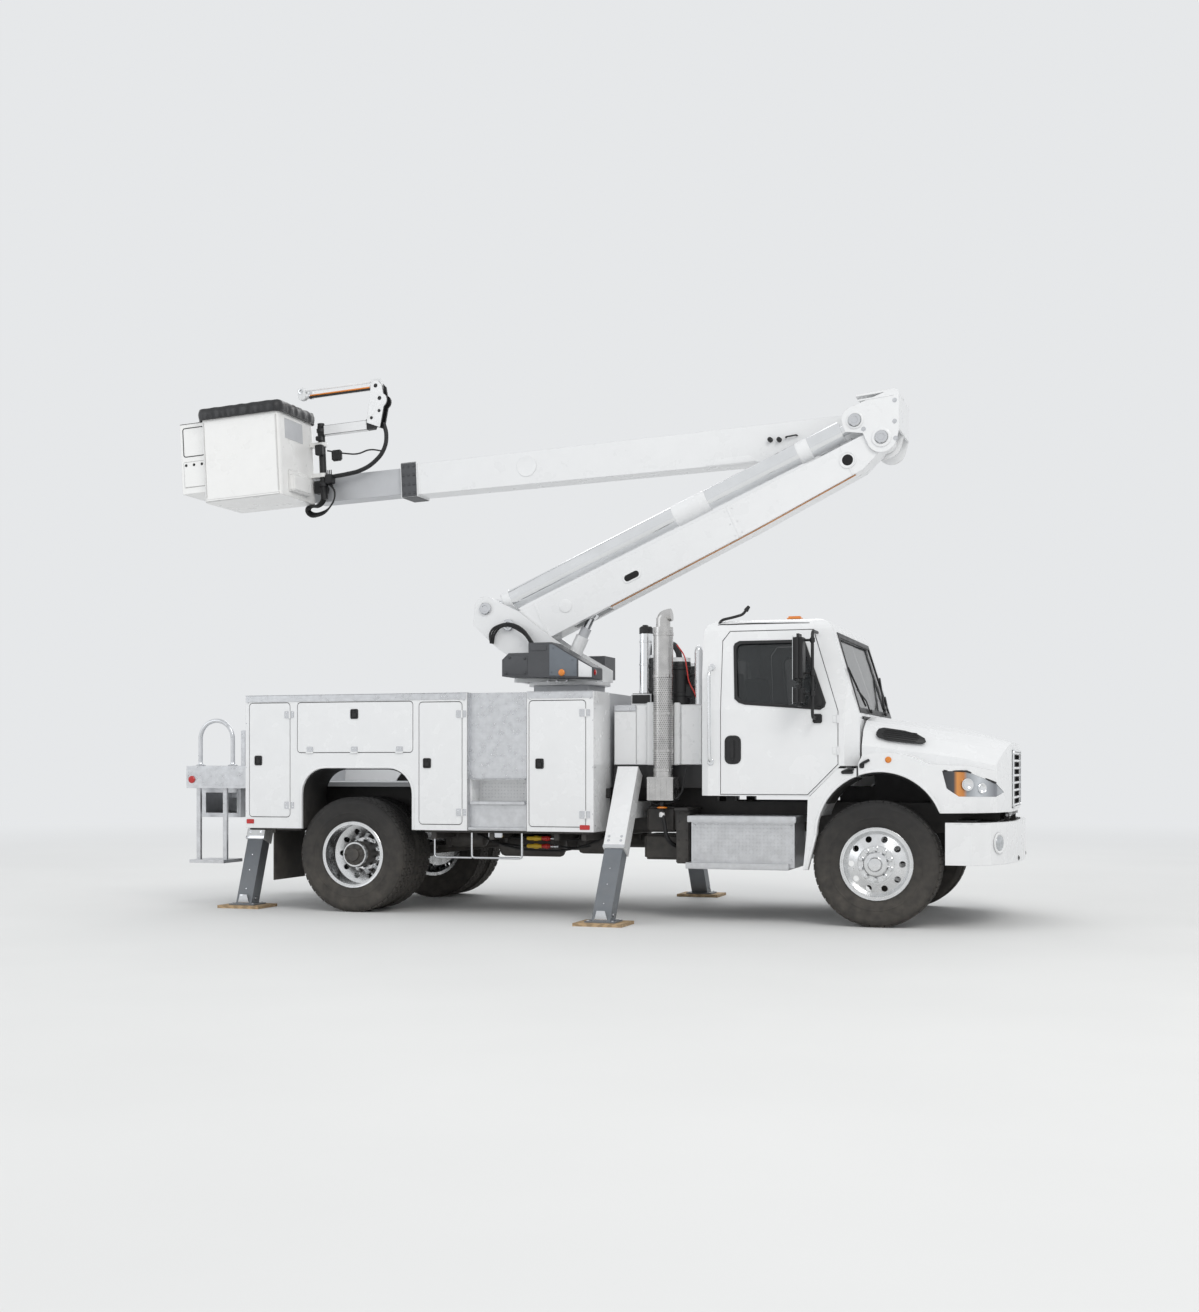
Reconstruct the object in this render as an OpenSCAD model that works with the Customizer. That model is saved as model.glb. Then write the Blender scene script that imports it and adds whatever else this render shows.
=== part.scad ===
// Bucket truck: conventional-cab truck, service body, two-boom aerial device.
// Every module is drawn from the rear axle: X forward, Y to the truck's left,
// Z up from the ground. placed() then moves it to the middle of its length.

/* [Truck] */
// Distance from the rear axle to the front axle
wheel_base = 4680; // [4200:10:5200]
// Radius of a tyre
tyre_r = 515; // [480:1:540]
// Width of a tyre
tyre_w = 275; // [230:1:290]
// Radius of the rim's bead seat
rim_r = 285; // [270:1:295]
// Outer face of the front tyres from the centre line
front_face_y = 1170; // [1120:1:1190]
// Outer face of the rear tyres from the centre line
rear_face_y = 1190; // [1150:1:1195]
// Distance between the middles of twin tyres
twin_pitch = 335; // [300:1:345]
// Steering pivot from the centre line
kingpin_y = 915; // [905:1:925]
// Width over the two frame rails
frame_w = 860; // [800:10:900]
// Depth of a frame rail
rail_h = 255; // [220:1:270]
// Top of the frame rails
rail_top = 1000; // [960:1:1040]

/* [Cab] */
// Back wall of the cab
cab_back = 3200; // [3170:1:3250]
// Half of the cab's width at the doors
cab_half = 1080; // [1000:1:1100]
// Thickness of the cab's walls and doors
cab_wall = 55; // [40:1:70]
// Roof of the cab
roof_z = 2540; // [2480:1:2560]
// Open gap around each door and lid
seam = 6; // [5:0.5:9]
// Thickness of the bonnet's shell
hood_wall = 25; // [15:1:35]

/* [Service body] */
// Half of the body's width
body_half = 1200; // [1150:1:1250]
// Rear face of the body
body_back = -1063; // [-1100:1:-1040]
// Front face of the body
body_front = 2289; // [2270:1:2300]
// Top of the body
body_top = 1950; // [1850:10:2000]
// Bottom of the body
body_low = 745; // [730:5:760]
// Depth of a side compartment
pack_depth = 460; // [420:10:500]
// Thickness of the body's walls and doors
body_wall = 22; // [16:1:28]
// Top of the wheel opening
arch_top = 1290; // [1250:5:1310]

/* [Outriggers] */
// Width of an inner leg along the truck
leg_w = 160; // [120:5:180]
// Lean of a front leg from upright
front_splay = 31.5; // [25:0.5:34]
// Lean of a rear leg from upright
rear_splay = 20; // [15:0.5:24]
// Thickness of the wooden boards
board_t = 26; // [15:1:40]

/* [Aerial device] */
// Turning axis of the turret from the rear axle
turret_x = 1660; // [1600:5:1700]
// Underside of the turret
turret_low = 2050; // [2020:5:2100]
// Length of the lower boom between its pins
lower_len = 3751; // [3600:1:3800]
// Angle of the lower boom above level
lower_angle = 24; // [20:1:30]
// Width of the lower boom
lower_w = 270; // [230:5:280]
// Diameter of the levelling link
link_d = 190; // [150:2:196]
// Slope of the upper boom, down to the rear
upper_slope = 2.4; // [0:0.1:5]
// Width of the upper boom
upper_w = 260; // [230:5:260]
// Wall of the upper boom
upper_wall = 12; // [8:1:16]
// Length of the upper boom from its pin to its mouth
upper_len = 4430; // [4200:10:4600]
// Inner boom showing past the collar, up to the bucket's pin
inner_out = 830; // [750:10:900]
// Length of the bucket along the truck
bucket_len = 830; // [760:5:850]
// Width of the bucket
bucket_w = 700; // [600:5:720]
// Height of the bucket
bucket_h = 795; // [700:5:900]
// Wall of the bucket
bucket_wall = 14; // [8:1:20]
// Lean of the bucket, down to the rear
bucket_tilt = 3; // [0:0.5:5]

/* [Hidden] */
$fn = 48;
touch = 0.3;                    // gap between faces that rest on each other
slip = 0.3;                     // gap in a turning or sliding fit
open_slip = 2;                  // gap round a pin whose linkage is left open
far = 4000;                     // length of a cutter that passes right through

RIGHT = -1;
LEFT = 1;

// ---- placing and outlines ----
module on_side(s) { if (s > 0) children(); else mirror([0, 1, 0]) children(); }
module both_sides() { for (s = [RIGHT, LEFT]) on_side(s) children(); }
module block(low, high) { translate(low) cube(high - low); }
// an outline in X and Z, drawn out from y0 to y1
module across(y0, y1) {
  translate([0, y1, 0]) rotate([90, 0, 0]) linear_extrude(y1 - y0) children();
}
// an outline in Y and Z, drawn out from x0 to x1
module along(x0, x1) {
  translate([x0, 0, 0]) rotate([90, 0, 90]) linear_extrude(x1 - x0) children();
}
module rod_y(x, z, r, y0, y1) {
  translate([x, y1, z]) rotate([90, 0, 0]) cylinder(r = r, h = y1 - y0);
}
module rod_z(x, y, r, z0, z1) { translate([x, y, z0]) cylinder(r = r, h = z1 - z0); }
module rod_x(y, z, r, x0, x1) {
  translate([x0, y, z]) rotate([0, 90, 0]) cylinder(r = r, h = x1 - x0);
}
module round_box(x0, x1, z0, z1, r) {
  translate([x0 + r, z0]) square([x1 - x0 - 2 * r, z1 - z0]);
  translate([x0, z0 + r]) square([x1 - x0, z1 - z0 - 2 * r]);
  for (x = [x0 + r, x1 - r], z = [z0 + r, z1 - r]) translate([x, z]) circle(r);
}
function arc(x, z, r, from, to, steps = 10) =
  [for (i = [0:steps]) [x + r * cos(from + (to - from) * i / steps),
                        z + r * sin(from + (to - from) * i / steps)]];
function turned(p, a) = [p[0] * cos(a) - p[1] * sin(a), p[0] * sin(a) + p[1] * cos(a)];

// ---- where the main things lie ----
front_end = 5770;
hub_z = tyre_r;
rail_y = frame_w / 2;
rail_low = rail_top - rail_h;
rail_wall = 8;
rail_flange = 76;
sub_top = rail_top + 120;
rail_back = body_back - 187;
rail_front = 5600;
front_mid_y = front_face_y - tyre_w / 2;
rear_mid_y = rear_face_y - tyre_w / 2;

// ---- frame ----
cross_beams = [-1150, 760, 2000, 3450];
module rail() {
  along(rail_back, rail_front) difference() {
    translate([rail_y - rail_flange, rail_low]) square([rail_flange, rail_h]);
    translate([rail_y - rail_flange - 1, rail_low + rail_wall])
      square([rail_flange - rail_wall + 1, rail_h - 2 * rail_wall]);
  }
}
hood_pin_x = 5655;
hood_pin_z = 900;
hood_pin_r = 12;
hood_tab_y = rail_y - 60;
spring_y0 = rail_y - 76;
spring_y1 = rail_y - 4;
front_spring_z = hub_z + 62;
rear_spring_z = hub_z + 92;
spring_reach = 620;
hanger_z = 30;
module hangers(x, z) {
  for (dx = [-spring_reach - 30, spring_reach - 30])
    block([x + dx, spring_y0, z - hanger_z], [x + dx + 60, spring_y1, rail_low + 1]);
}
gear_back = 3640;
tow_bore_r = 20;
tow_x = rail_back - 50;
tow_z = rail_low + 25;
// plate with a bore for a towing pin, behind the end of the rail
module tow_eye() {
  difference() {
    block([rail_back - 95, rail_y - 30, tow_z - 50], [rail_back + 1, rail_y, tow_z + 50]);
    rod_y(tow_x, tow_z, tow_bore_r, rail_y - 31, rail_y + 1);
  }
}
module chassis_frame() {
  color([0.06, 0.06, 0.07]) {
    both_sides() {
      rail();
      block([body_back, rail_y - rail_flange, rail_top - 1],
            [3180, rail_y, sub_top]);
      hangers(wheel_base, front_spring_z);
      hangers(0, rear_spring_z);
      block([rail_front - 40, rail_y - 40, rail_low + 40],
            [bumper_pad_x - touch, rail_y, rail_low + 90]);
      tow_eye();
      difference() {
        union() {
          block([rail_front - 60, hood_tab_y, rail_low + 60],
                [hood_pin_x + 20, rail_y - rail_wall + 1, rail_low + 110]);
          block([hood_pin_x - 20, hood_tab_y, rail_low + 60],
                [hood_pin_x + 20, hood_tab_y + 12, hood_pin_z]);
          rod_y(hood_pin_x, hood_pin_z, 20, hood_tab_y, hood_tab_y + 12);
        }
        rod_y(hood_pin_x, hood_pin_z, hood_pin_r + slip, hood_tab_y - 1, hood_tab_y + 13);
      }
    }
    // cross beams fit between the webs of the two rails
    beam_y = rail_y - rail_wall - touch;
    for (x = cross_beams)
      block([x - 35, -beam_y, rail_top - 80], [x + 35, beam_y, rail_top - 20]);
    block([5260, -beam_y, rail_low + rail_wall + touch], [5420, beam_y, rail_low + 60]);
    // box that carries the front outriggers and the tank
    block([2330, -rail_y - 330, sub_top + touch], [3160, rail_y + 330, tank_low - touch]);
    // posts that carry the cab
    both_sides() for (x = [cab_back + 60, 4020])
      block([x, rail_y - 70, rail_top - 1], [x + 80, rail_y, cab_low - touch]);
  }
}

engine_w = 600;
module engine_block() {
  color([0.3, 0.31, 0.32]) {
    block([4540, -engine_w / 2, rail_low + 25], [5130, engine_w / 2, 1370]);
    block([4230, -engine_w / 2 + 60, rail_low + 25], [4541, engine_w / 2 - 60, 1130]);
    block([gear_back, -170, rail_low + 45], [4231, 170, rail_top - 40]);
    both_sides() block([4900, engine_w / 2 - 1, rail_low + rail_wall + touch],
                       [5000, rail_y - rail_wall - 6, rail_low + 90]);
    both_sides() block([3900, 169, rail_low + rail_wall + touch],
                       [3980, rail_y - rail_wall - 6, rail_low + 90]);
    block([5280, -345, rail_low + 60 + touch], [5380, 345, 1440]);
  }
}

leaf_t = 16;
// leaves stacked down from z
module spring_pack(x, z) {
  steps = [[spring_reach, 0], [480, 1], [340, 2], [200, 3]];
  for (s = steps)
    block([x - s[0], spring_y0 + 4, z - leaf_t * (s[1] + 1)],
          [x + s[0], spring_y1 - 4, z - leaf_t * s[1] + 1 - (s[1] == 0 ? 1 : 0)]);
}
knuckle_eye = 34;
module front_axle() {
  color([0.07, 0.07, 0.08]) {
    difference() {
      union() {
        block([wheel_base - 45, -kingpin_y, hub_z - 45],
              [wheel_base + 45, kingpin_y, hub_z + 35]);
        both_sides() rod_z(wheel_base, kingpin_y, 45, hub_z - 45, hub_z + 35);
        // seats that clamp the springs
        both_sides() block([wheel_base - 90, spring_y0, hub_z - 60],
                           [wheel_base + 90, spring_y1, hub_z + 20]);
      }
      both_sides() rod_z(wheel_base, kingpin_y, knuckle_eye / 2 + slip, 0, far);
    }
    both_sides() spring_pack(wheel_base, front_spring_z - hanger_z - touch);
  }
}
axle_r = 45;
module rear_axle() {
  color([0.07, 0.07, 0.08]) {
    rod_y(0, hub_z, 62, -540, 540);
    rod_y(0, hub_z, axle_r, -rear_mid_y - 30, rear_mid_y + 30);
    translate([0, 0, hub_z]) sphere(205);
    rod_x(0, hub_z, 70, 100, 262);
    both_sides() spring_pack(0, rear_spring_z - hanger_z - touch);
    both_sides() block([-60, spring_y0 + 8, hub_z], [60, spring_y1 - 8, rear_spring_z - 20]);
    // propeller shaft, from the axle's nose up to the gearbox
    shaft_rise = rail_low + 130 - hub_z;
    shaft_run = gear_back - 262;
    translate([262 + touch, 0, hub_z])
      rotate([0, 90 - atan(shaft_rise / shaft_run), 0])
        cylinder(r = 45, h = norm([shaft_rise, shaft_run]) - 30);
  }
}
// steering knuckle with its spindle
module knuckle(s) {
  color([0.09, 0.09, 0.1]) on_side(s) {
    rod_z(wheel_base, kingpin_y, knuckle_eye / 2, hub_z - 95, hub_z + 85);
    rod_z(wheel_base, kingpin_y, 40, hub_z + 35 + slip, hub_z + 85);
    rod_z(wheel_base, kingpin_y, 40, hub_z - 95, hub_z - 45 - slip);
    block([wheel_base - 38, kingpin_y + 30, hub_z - 95],
          [wheel_base + 38, kingpin_y + 62, hub_z - 46 - slip]);
    block([wheel_base - 38, kingpin_y + 30, hub_z + 36 + slip],
          [wheel_base + 38, kingpin_y + 62, hub_z + 85]);
    block([wheel_base - 38, kingpin_y + 50, hub_z - 90],
          [wheel_base + 38, kingpin_y + 72, hub_z + 80]);
    rod_y(wheel_base, hub_z, spindle_r, kingpin_y + 60, front_face_y + 20);
  }
}

// ---- wheels ----
spindle_r = 36;
bead_half = 98;
module tyre(y) {
  translate([0, y, 0]) rotate([90, 0, 0]) rotate_extrude($fn = 96) polygon([
    [rim_r + touch, -bead_half], [rim_r + 22, -bead_half],
    [rim_r + 50, -tyre_w / 2 + 6], [rim_r + 110, -tyre_w / 2],
    [tyre_r - 45, -tyre_w / 2 + 3], [tyre_r - 14, -tyre_w / 2 + 16],
    [tyre_r, -tyre_w / 2 + 32], [tyre_r, tyre_w / 2 - 32],
    [tyre_r - 14, tyre_w / 2 - 16], [tyre_r - 45, tyre_w / 2 - 3],
    [rim_r + 110, tyre_w / 2], [rim_r + 50, tyre_w / 2 - 6],
    [rim_r + 22, bead_half], [rim_r + touch, bead_half]]);
}
module barrel(y) {
  lip = bead_half + touch;
  translate([0, y, 0]) rotate([90, 0, 0]) rotate_extrude($fn = 96) polygon([
    [rim_r - 16, -lip - 10], [rim_r + 14, -lip - 10], [rim_r + 14, -lip], [rim_r, -lip],
    [rim_r, lip], [rim_r + 14, lip], [rim_r + 14, lip + 10], [rim_r - 16, lip + 10]]);
}
hand_holes = 10;
// wheel disc: bowl from the hub face out to the barrel, standing at y
module disc(y, bowl, bore = spindle_r) {
  difference() {
    translate([0, y, 0]) rotate([-90, 0, 0]) rotate_extrude($fn = 96) polygon([
      [bore + slip, 0], [150, 0], [rim_r - 12, bowl], [rim_r - 12, bowl + 14],
      [146, 14], [bore + slip, 14]]);
    for (i = [0:hand_holes - 1]) rotate([0, 360 / hand_holes * (i + 0.5), 0])
      translate([0, y - 100, 208]) rotate([-90, 0, 0]) cylinder(r = 26, h = 300);
  }
}
module front_tyre(s) {
  color([0.05, 0.05, 0.055]) on_side(s) translate([wheel_base, 0, hub_z]) tyre(front_mid_y);
}
module front_rim(s) {
  color([0.8, 0.81, 0.83]) on_side(s) translate([wheel_base, 0, hub_z]) {
    barrel(front_mid_y);
    disc(front_face_y - 36, -50);
    difference() {
      rod_y(0, 0, 95, kingpin_y + 76, front_face_y + 30);
      rod_y(0, 0, spindle_r + slip, 0, front_face_y + 22);
    }
    // brake drum
    difference() {
      rod_y(0, 0, 175, kingpin_y + 82, front_face_y - 70);
      rod_y(0, 0, spindle_r + slip, 0, front_face_y + 22);
    }
  }
}
module rear_tyres(s) {
  color([0.05, 0.05, 0.055]) on_side(s) translate([0, 0, hub_z]) {
    tyre(rear_mid_y);
    tyre(rear_mid_y - twin_pitch);
  }
}
module rear_rims(s) {
  mid = rear_mid_y - twin_pitch / 2;
  color([0.75, 0.76, 0.78]) on_side(s) translate([0, 0, hub_z]) {
    difference() {
      union() {
        barrel(rear_mid_y);
        barrel(rear_mid_y - twin_pitch);
        rod_y(0, 0, 110, mid - 100, rear_mid_y + 70);
        rod_y(0, 0, 200, mid - 150, mid + 2);
      }
      rod_y(0, 0, axle_r + slip, 0, rear_mid_y + 32);
    }
    disc(mid, 75, axle_r);
    disc(mid - 14, -75, axle_r);
  }
}

// ---- cab ----
cab_low = 1060;
cowl_x = 4520;
cowl_z = 1720;
// side outline, drawn in by i
function cab_side(i) = concat(
  [[cab_back + i, cab_low + i], [4120 - i / 2, cab_low + i], [4375 - i / 2, 1310 + i / 2],
   [cowl_x - i, 1310 + i / 2], [cowl_x - i, cowl_z - i / 3]],
  [for (p = arc(4160, roof_z - 150, 150 - i, 24, 90, 5)) p],
  [for (p = arc(cab_back + 120, roof_z - 120, 120 - i, 90, 180, 5)) p]);
// front outline, drawn in by i
function cab_front(i) = concat(
  [[cab_half - i, cab_low - 40 + i], [cab_half - i, 1780]],
  [for (p = arc(cab_half - 205, roof_z - 115, 115 - i, 12, 90, 5)) p],
  [for (p = arc(-cab_half + 205, roof_z - 115, 115 - i, 90, 168, 5)) p],
  [[-cab_half + i, 1780], [-cab_half + i, cab_low - 40 + i]]);
// plan outline, drawn in by i
function cab_plan(i) = [
  [cab_back + i, cab_half - 40 - i], [cab_back + 60, cab_half - i], [4410, cab_half - i],
  [cowl_x + 1, cab_half - 110 - i], [cowl_x + 1, -cab_half + 110 + i], [4410, -cab_half + i],
  [cab_back + 60, -cab_half + i], [cab_back + i, -cab_half + 40 + i]];
module cab_form(i) {
  intersection() {
    across(-far, far) polygon(cab_side(i));
    along(0, 2 * far) polygon(cab_front(i));
    linear_extrude(far) polygon(cab_plan(i));
  }
}
// door outline, grown by g
function cab_door_line(g) = [
  [3372 - g, 1075 - g], [4105 + g / 2, 1075 - g], [4355 + g, 1325 - g / 2],
  [4355 + g, 1760], [4135 + g, 2440 + g], [3432 - g / 2, 2440 + g], [3372 - g, 2360 + g]];
function window_line(g) = [
  [3500 - g, 1885 - g], [3560, 1835 - g], [4205 + g / 2, 1780 - g], [4245 + g, 1825],
  [4060 + g, 2345 + g], [3520 - g / 2, 2345 + g], [3478 - g, 2300 + g]];
// upper part follows the cab's sides inward, lower part stays outside the floor
module doorway(s, g) {
  on_side(s) {
    across(cab_half - cab_wall - g, far) polygon(cab_door_line(g));
    intersection() {
      across(cab_half - 330, far) polygon(cab_door_line(g));
      block([0, 0, 1500], [2 * far, far, far]);
    }
  }
}
// fixed rear part of each front fender, from the wheel opening back to the cab
module quarter_fender() {
  front = hood_back - 15;
  rise = acos((wheel_arch[0] - front) / wheel_arch[2]);
  arch = arc(wheel_arch[0], wheel_arch[1], wheel_arch[2], 180, 180 - rise, 10);
  upper = concat(arch, [[front, 1290], [4370, 1290], [4125, 1045], [4115, wheel_arch[1]]]);
  lower = [[4085, 457], [4125, 457], [4200, wheel_arch[1] + 1], [4115, wheel_arch[1] + 1]];
  across(1110, 1170) union() { polygon(upper); polygon(lower); }
  intersection() {
    across(640, 1111) polygon(upper);
    block([4000, 0, 900], [front, far, far]);
  }
  // stay up to the cab's toe board
  block([4400, 640, 1280], [4440, 900, 1330]);
}
module cab_shell() {
  color([0.93, 0.93, 0.94]) both_sides() quarter_fender();
  color([0.93, 0.93, 0.94]) difference() {
    cab_form(0);
    cab_form(cab_wall);
    doorway(RIGHT, seam);
    doorway(LEFT, seam);
    // windscreen
    along(4120, 2 * far) polygon([[-860, 1790], [860, 1790], [800, 2390], [-800, 2390]]);
    // back window
    along(0, cab_back + 200) polygon([[-600, 1850], [600, 1850], [560, 2280], [-560, 2280]]);
  }
}
glass_t = 6;
module cab_glass() {
  color([0.1, 0.13, 0.14]) intersection() {
    difference() { cab_form(18); cab_form(18 + glass_t); }
    union() {
      along(4120, 2 * far) polygon([[-860 + touch, 1790 + touch], [860 - touch, 1790 + touch],
                                [800 - touch, 2390 - touch], [-800 + touch, 2390 - touch]]);
      along(0, cab_back + 200) polygon([[-600 + touch, 1850 + touch], [600 - touch, 1850 + touch],
                                        [560 - touch, 2280 - touch], [-560 + touch, 2280 - touch]]);
    }
  }
}
hinge_r = 8;
hinge_out = hinge_r + touch;    // pin of an outside hinge, out from the panel's face
leaf_out = 3;
// upright hinge on the front edge x of a panel whose face is at y
module hinge_up(x, y, z) {
  rod_z(x + seam / 2, y + hinge_out, hinge_r, z, z + 70);
  block([x - 40, y - 1, z + 6], [x + seam / 2, y + leaf_out, z + 64]);
}
module cab_door(s) {
  color([0.93, 0.93, 0.94]) on_side(s) for (z = [1400, 1660]) hinge_up(4355, cab_half, z);
  color([0.93, 0.93, 0.94]) difference() {
    intersection() {
      difference() { cab_form(0); cab_form(cab_wall); }
      doorway(s, 0);
    }
    on_side(s) across(0, far) polygon(window_line(0));
  }
  color([0.1, 0.13, 0.14]) intersection() {
    difference() { cab_form(22); cab_form(22 + glass_t); }
    on_side(s) across(0, far) polygon(window_line(-touch));
  }
}
seat_x = 3330;
module seat() {
  block([seat_x + 60, -230, cab_low + cab_wall + touch], [seat_x + 420, 230, 1330]);
  block([seat_x + 20, -250, 1330 + touch], [seat_x + 500, 250, 1470]);
  translate([seat_x + 20, 0, 1470 + touch]) rotate([0, -8, 0])
    block([0, -240, 0], [120, 240, 640]);
}
module cab_interior() {
  color([0.2, 0.2, 0.21]) {
    both_sides() translate([0, 520, 0]) seat();
    // dashboard, resting on the firewall
    across(-cab_half + 160, cab_half - 160) polygon([
      [cowl_x - cab_wall - 20, 1380], [cowl_x - cab_wall - touch, 1380],
      [cowl_x - cab_wall - touch, 1640], [4290, 1660], [4190, 1560], [4240, 1420]]);
    // steering wheel and its column
    translate([4080, 520, 1600]) rotate([0, -55, 0]) {
      rotate_extrude() translate([205, 0]) circle(15, $fn = 16);
      cylinder(r = 45, h = 30, center = true);
      block([-200, -18, -10], [200, 18, 8]);
    }
    translate([4080, 520, 1600]) rotate([0, 125, 0]) cylinder(r = 28, h = 210);
  }
}
mirror_y = 1230;
module mirrors(s) {
  color([0.04, 0.04, 0.05]) on_side(s) {
    rod_z(4175, mirror_y, 14, 1700, 2420);
    block([4162, cab_half - 70, 2400], [4188, mirror_y + 8, 2424]);
    block([4162, cab_half + touch, 1690], [4188, mirror_y + 8, 1714]);
    block([4150, cab_half + touch, 1660], [4230, cab_half + 20, 1740]);
    for (z = [2060, 2330, 1890])
      block([4110, mirror_y - 8, z], [4176, mirror_y + 8, z + 16]);
    block([4030, mirror_y - 60, 1990], [4112, mirror_y + 130, 2385]);
    block([4030, mirror_y - 60, 1795], [4112, mirror_y + 130, 1968]);
  }
}

// ---- bonnet ----
hood_back = cowl_x + 18;
hood_low = 930;
wheel_arch = [4710, 750, 510];
function hood_plan(i, back) = [
  [back, -1170 + i], [5060, -1170 + i], [5260, -1125 + i], [5460, -1000 + i],
  [5610 - i / 2, -800 + i], [5700 - i, -480], [5712 - i, 0], [5700 - i, 480],
  [5610 - i / 2, 800 - i], [5460, 1000 - i], [5260, 1125 - i], [5060, 1170 - i],
  [back, 1170 - i]];
module hood_top(i, back) {
  low = i > 0 ? hood_low - 200 : hood_low;
  hull() {
    along(back, back + 1) polygon([
      [-985 + i, low], [985 - i, low], [985 - i, 1480], [900 - i, 1610 - i], [740 - i, 1690 - i],
      [400, 1735 - i], [-400, 1735 - i], [-740 + i, 1690 - i], [-900 + i, 1610 - i],
      [-985 + i, 1480]]);
    along(5300, 5301) polygon([
      [-930 + i, low], [930 - i, low], [930 - i, 1380 - i], [820 - i, 1500 - i],
      [640 - i, 1580 - i], [350, 1620 - i], [-350, 1620 - i], [-640 + i, 1580 - i],
      [-820 + i, 1500 - i], [-930 + i, 1380 - i]]);
  }
  hull() {
    along(5300, 5301) polygon([
      [-930 + i, low], [930 - i, low], [930 - i, 1380 - i], [820 - i, 1500 - i],
      [640 - i, 1580 - i], [350, 1620 - i], [-350, 1620 - i], [-640 + i, 1580 - i],
      [-820 + i, 1500 - i], [-930 + i, 1380 - i]]);
    along(5711 - i, 5712 - i) polygon([
      [-780 + i, low], [780 - i, low], [780 - i, 1290 - i], [600 - i, 1430 - i],
      [480 - i, 1500 - i], [-480 + i, 1500 - i], [-600 + i, 1430 - i], [-780 + i, 1290 - i]]);
  }
}
// fender outline, drawn in by i
function fender_line(i, back) = concat(
  [[5712, i > 0 ? hood_low - 200 : hood_low], [5712, 1250 - i], [5400, 1310 - i]],
  [for (p = arc(4740, 720, 700 - i, 60, 104, 8)) p],
  [[back, 1330 - i], [back, i > 0 ? hood_low - 200 : hood_low]]);
module hood_form(i, back) {
  intersection() {
    union() {
      hood_top(i, back);
      both_sides() across(560, 1180) polygon(fender_line(i, back));
    }
    translate([0, 0, 200]) linear_extrude(far) polygon(hood_plan(i, back - 500));
  }
}
lamp_line = [[5205, 1270], [5390, 1265], [5600, 1170], [5650, 1095], [5600, 1060], [5330, 1065],
  [5240, 1130]];
module lamp_hole(g) {
  both_sides() across(500, 1300) polygon([for (p = lamp_line)
    [5420 + (p[0] - 5420) * (1 + g / 200), 1165 + (p[1] - 1165) * (1 + g / 90)]]);
}
module hood() {
  color([0.93, 0.93, 0.94]) {
    difference() {
      hood_form(0, hood_back);
      hood_form(hood_wall, hood_back - 400);
      both_sides() translate([wheel_arch[0], 1300, wheel_arch[1]]) rotate([90, 0, 0])
        cylinder(r = wheel_arch[2], h = 800, $fn = 120);
      both_sides() block([4209, 500, 400], [5196, 1300, 751]);
      lamp_hole(touch);
      block([5600, -440, 960], [5800, 440, 1440]);
    }
    // hinge arms, beside the frame's lugs
    both_sides() {
      block([hood_pin_x - 16, hood_tab_y - 16, hood_pin_z], [hood_pin_x + 40, hood_tab_y - 4, 960]);
      rod_y(hood_pin_x, hood_pin_z, 18, hood_tab_y - 16, hood_tab_y - 4);
    }
    both_sides() rod_y(hood_pin_x, hood_pin_z, hood_pin_r, hood_tab_y - 10, hood_tab_y + 20);
  }
}
module grille() {
  color([0.04, 0.04, 0.045]) difference() {
    block([5672, -440 + touch, 960 + touch], [5700, 440 - touch, 1440 - touch]);
    for (z = [990:62:1400]) block([5600, -400, z], [5800, -10, z + 40]);
    for (z = [990:62:1400]) block([5600, 10, z], [5800, 400, z + 40]);
  }
}
module headlights() {
  color([0.75, 0.77, 0.8]) intersection() {
    difference() { hood_form(2, hood_back); hood_form(hood_wall + 20, hood_back); }
    lamp_hole(0);
  }
}

// ---- bumper ----
bumper_low = 515;
bumper_top = 856;
bumper_t = 40;
bumper_pad_x = 5700;
function bumper_line(i) = [
  [5230, 1150 - i], [5440, 1150 - i], [5580 - i / 2, 1040 - i], [5680 - i, 820 - i / 2],
  [5745 - i, 500], [front_end - i, 200], [front_end - i, -200], [5745 - i, -500],
  [5680 - i, -820 + i / 2], [5580 - i / 2, -1040 + i], [5440, -1150 + i], [5230, -1150 + i]];
module bumper() {
  color([0.93, 0.93, 0.94]) translate([0, 0, bumper_low])
    linear_extrude(bumper_top - bumper_low) difference() {
      polygon(bumper_line(0));
      polygon(concat([[5200, 1150 - bumper_t]], bumper_line(bumper_t),
                     [[5200, -1150 + bumper_t]]));
    }
  // pads that the frame's brackets bolt to
  color([0.93, 0.93, 0.94]) both_sides()
    block([bumper_pad_x, rail_y - 40, rail_low + 30], [front_end - 50, rail_y, rail_low + 100]);
}

// ---- under and behind the cab ----
box_x0 = 3100;
box_x1 = 4020;
box_z0 = 450;
box_z1 = 890;
box_y0 = 640;
box_y1 = 1150;
module side_box() {
  block([box_x0 + 20, box_y0, box_z0 + 14], [box_x1 - 20, box_y1 - 60, box_z1 - 30]);
  block([box_x0, box_y0, box_z1 - 50], [box_x1, box_y1, box_z1]);
  block([box_x0 - 15, box_y0, box_z0], [box_x1 - 60, box_y1, box_z0 + 50]);
  for (x = [box_x0 + 120, box_x1 - 220])
    block([x, rail_y + touch, 770], [x + 100, box_y0 + 1, 860]);
}
module step_box() { color([0.72, 0.73, 0.75]) on_side(RIGHT) side_box(); }
module fuel_tank() { color([0.72, 0.73, 0.75]) on_side(LEFT) side_box(); }

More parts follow.
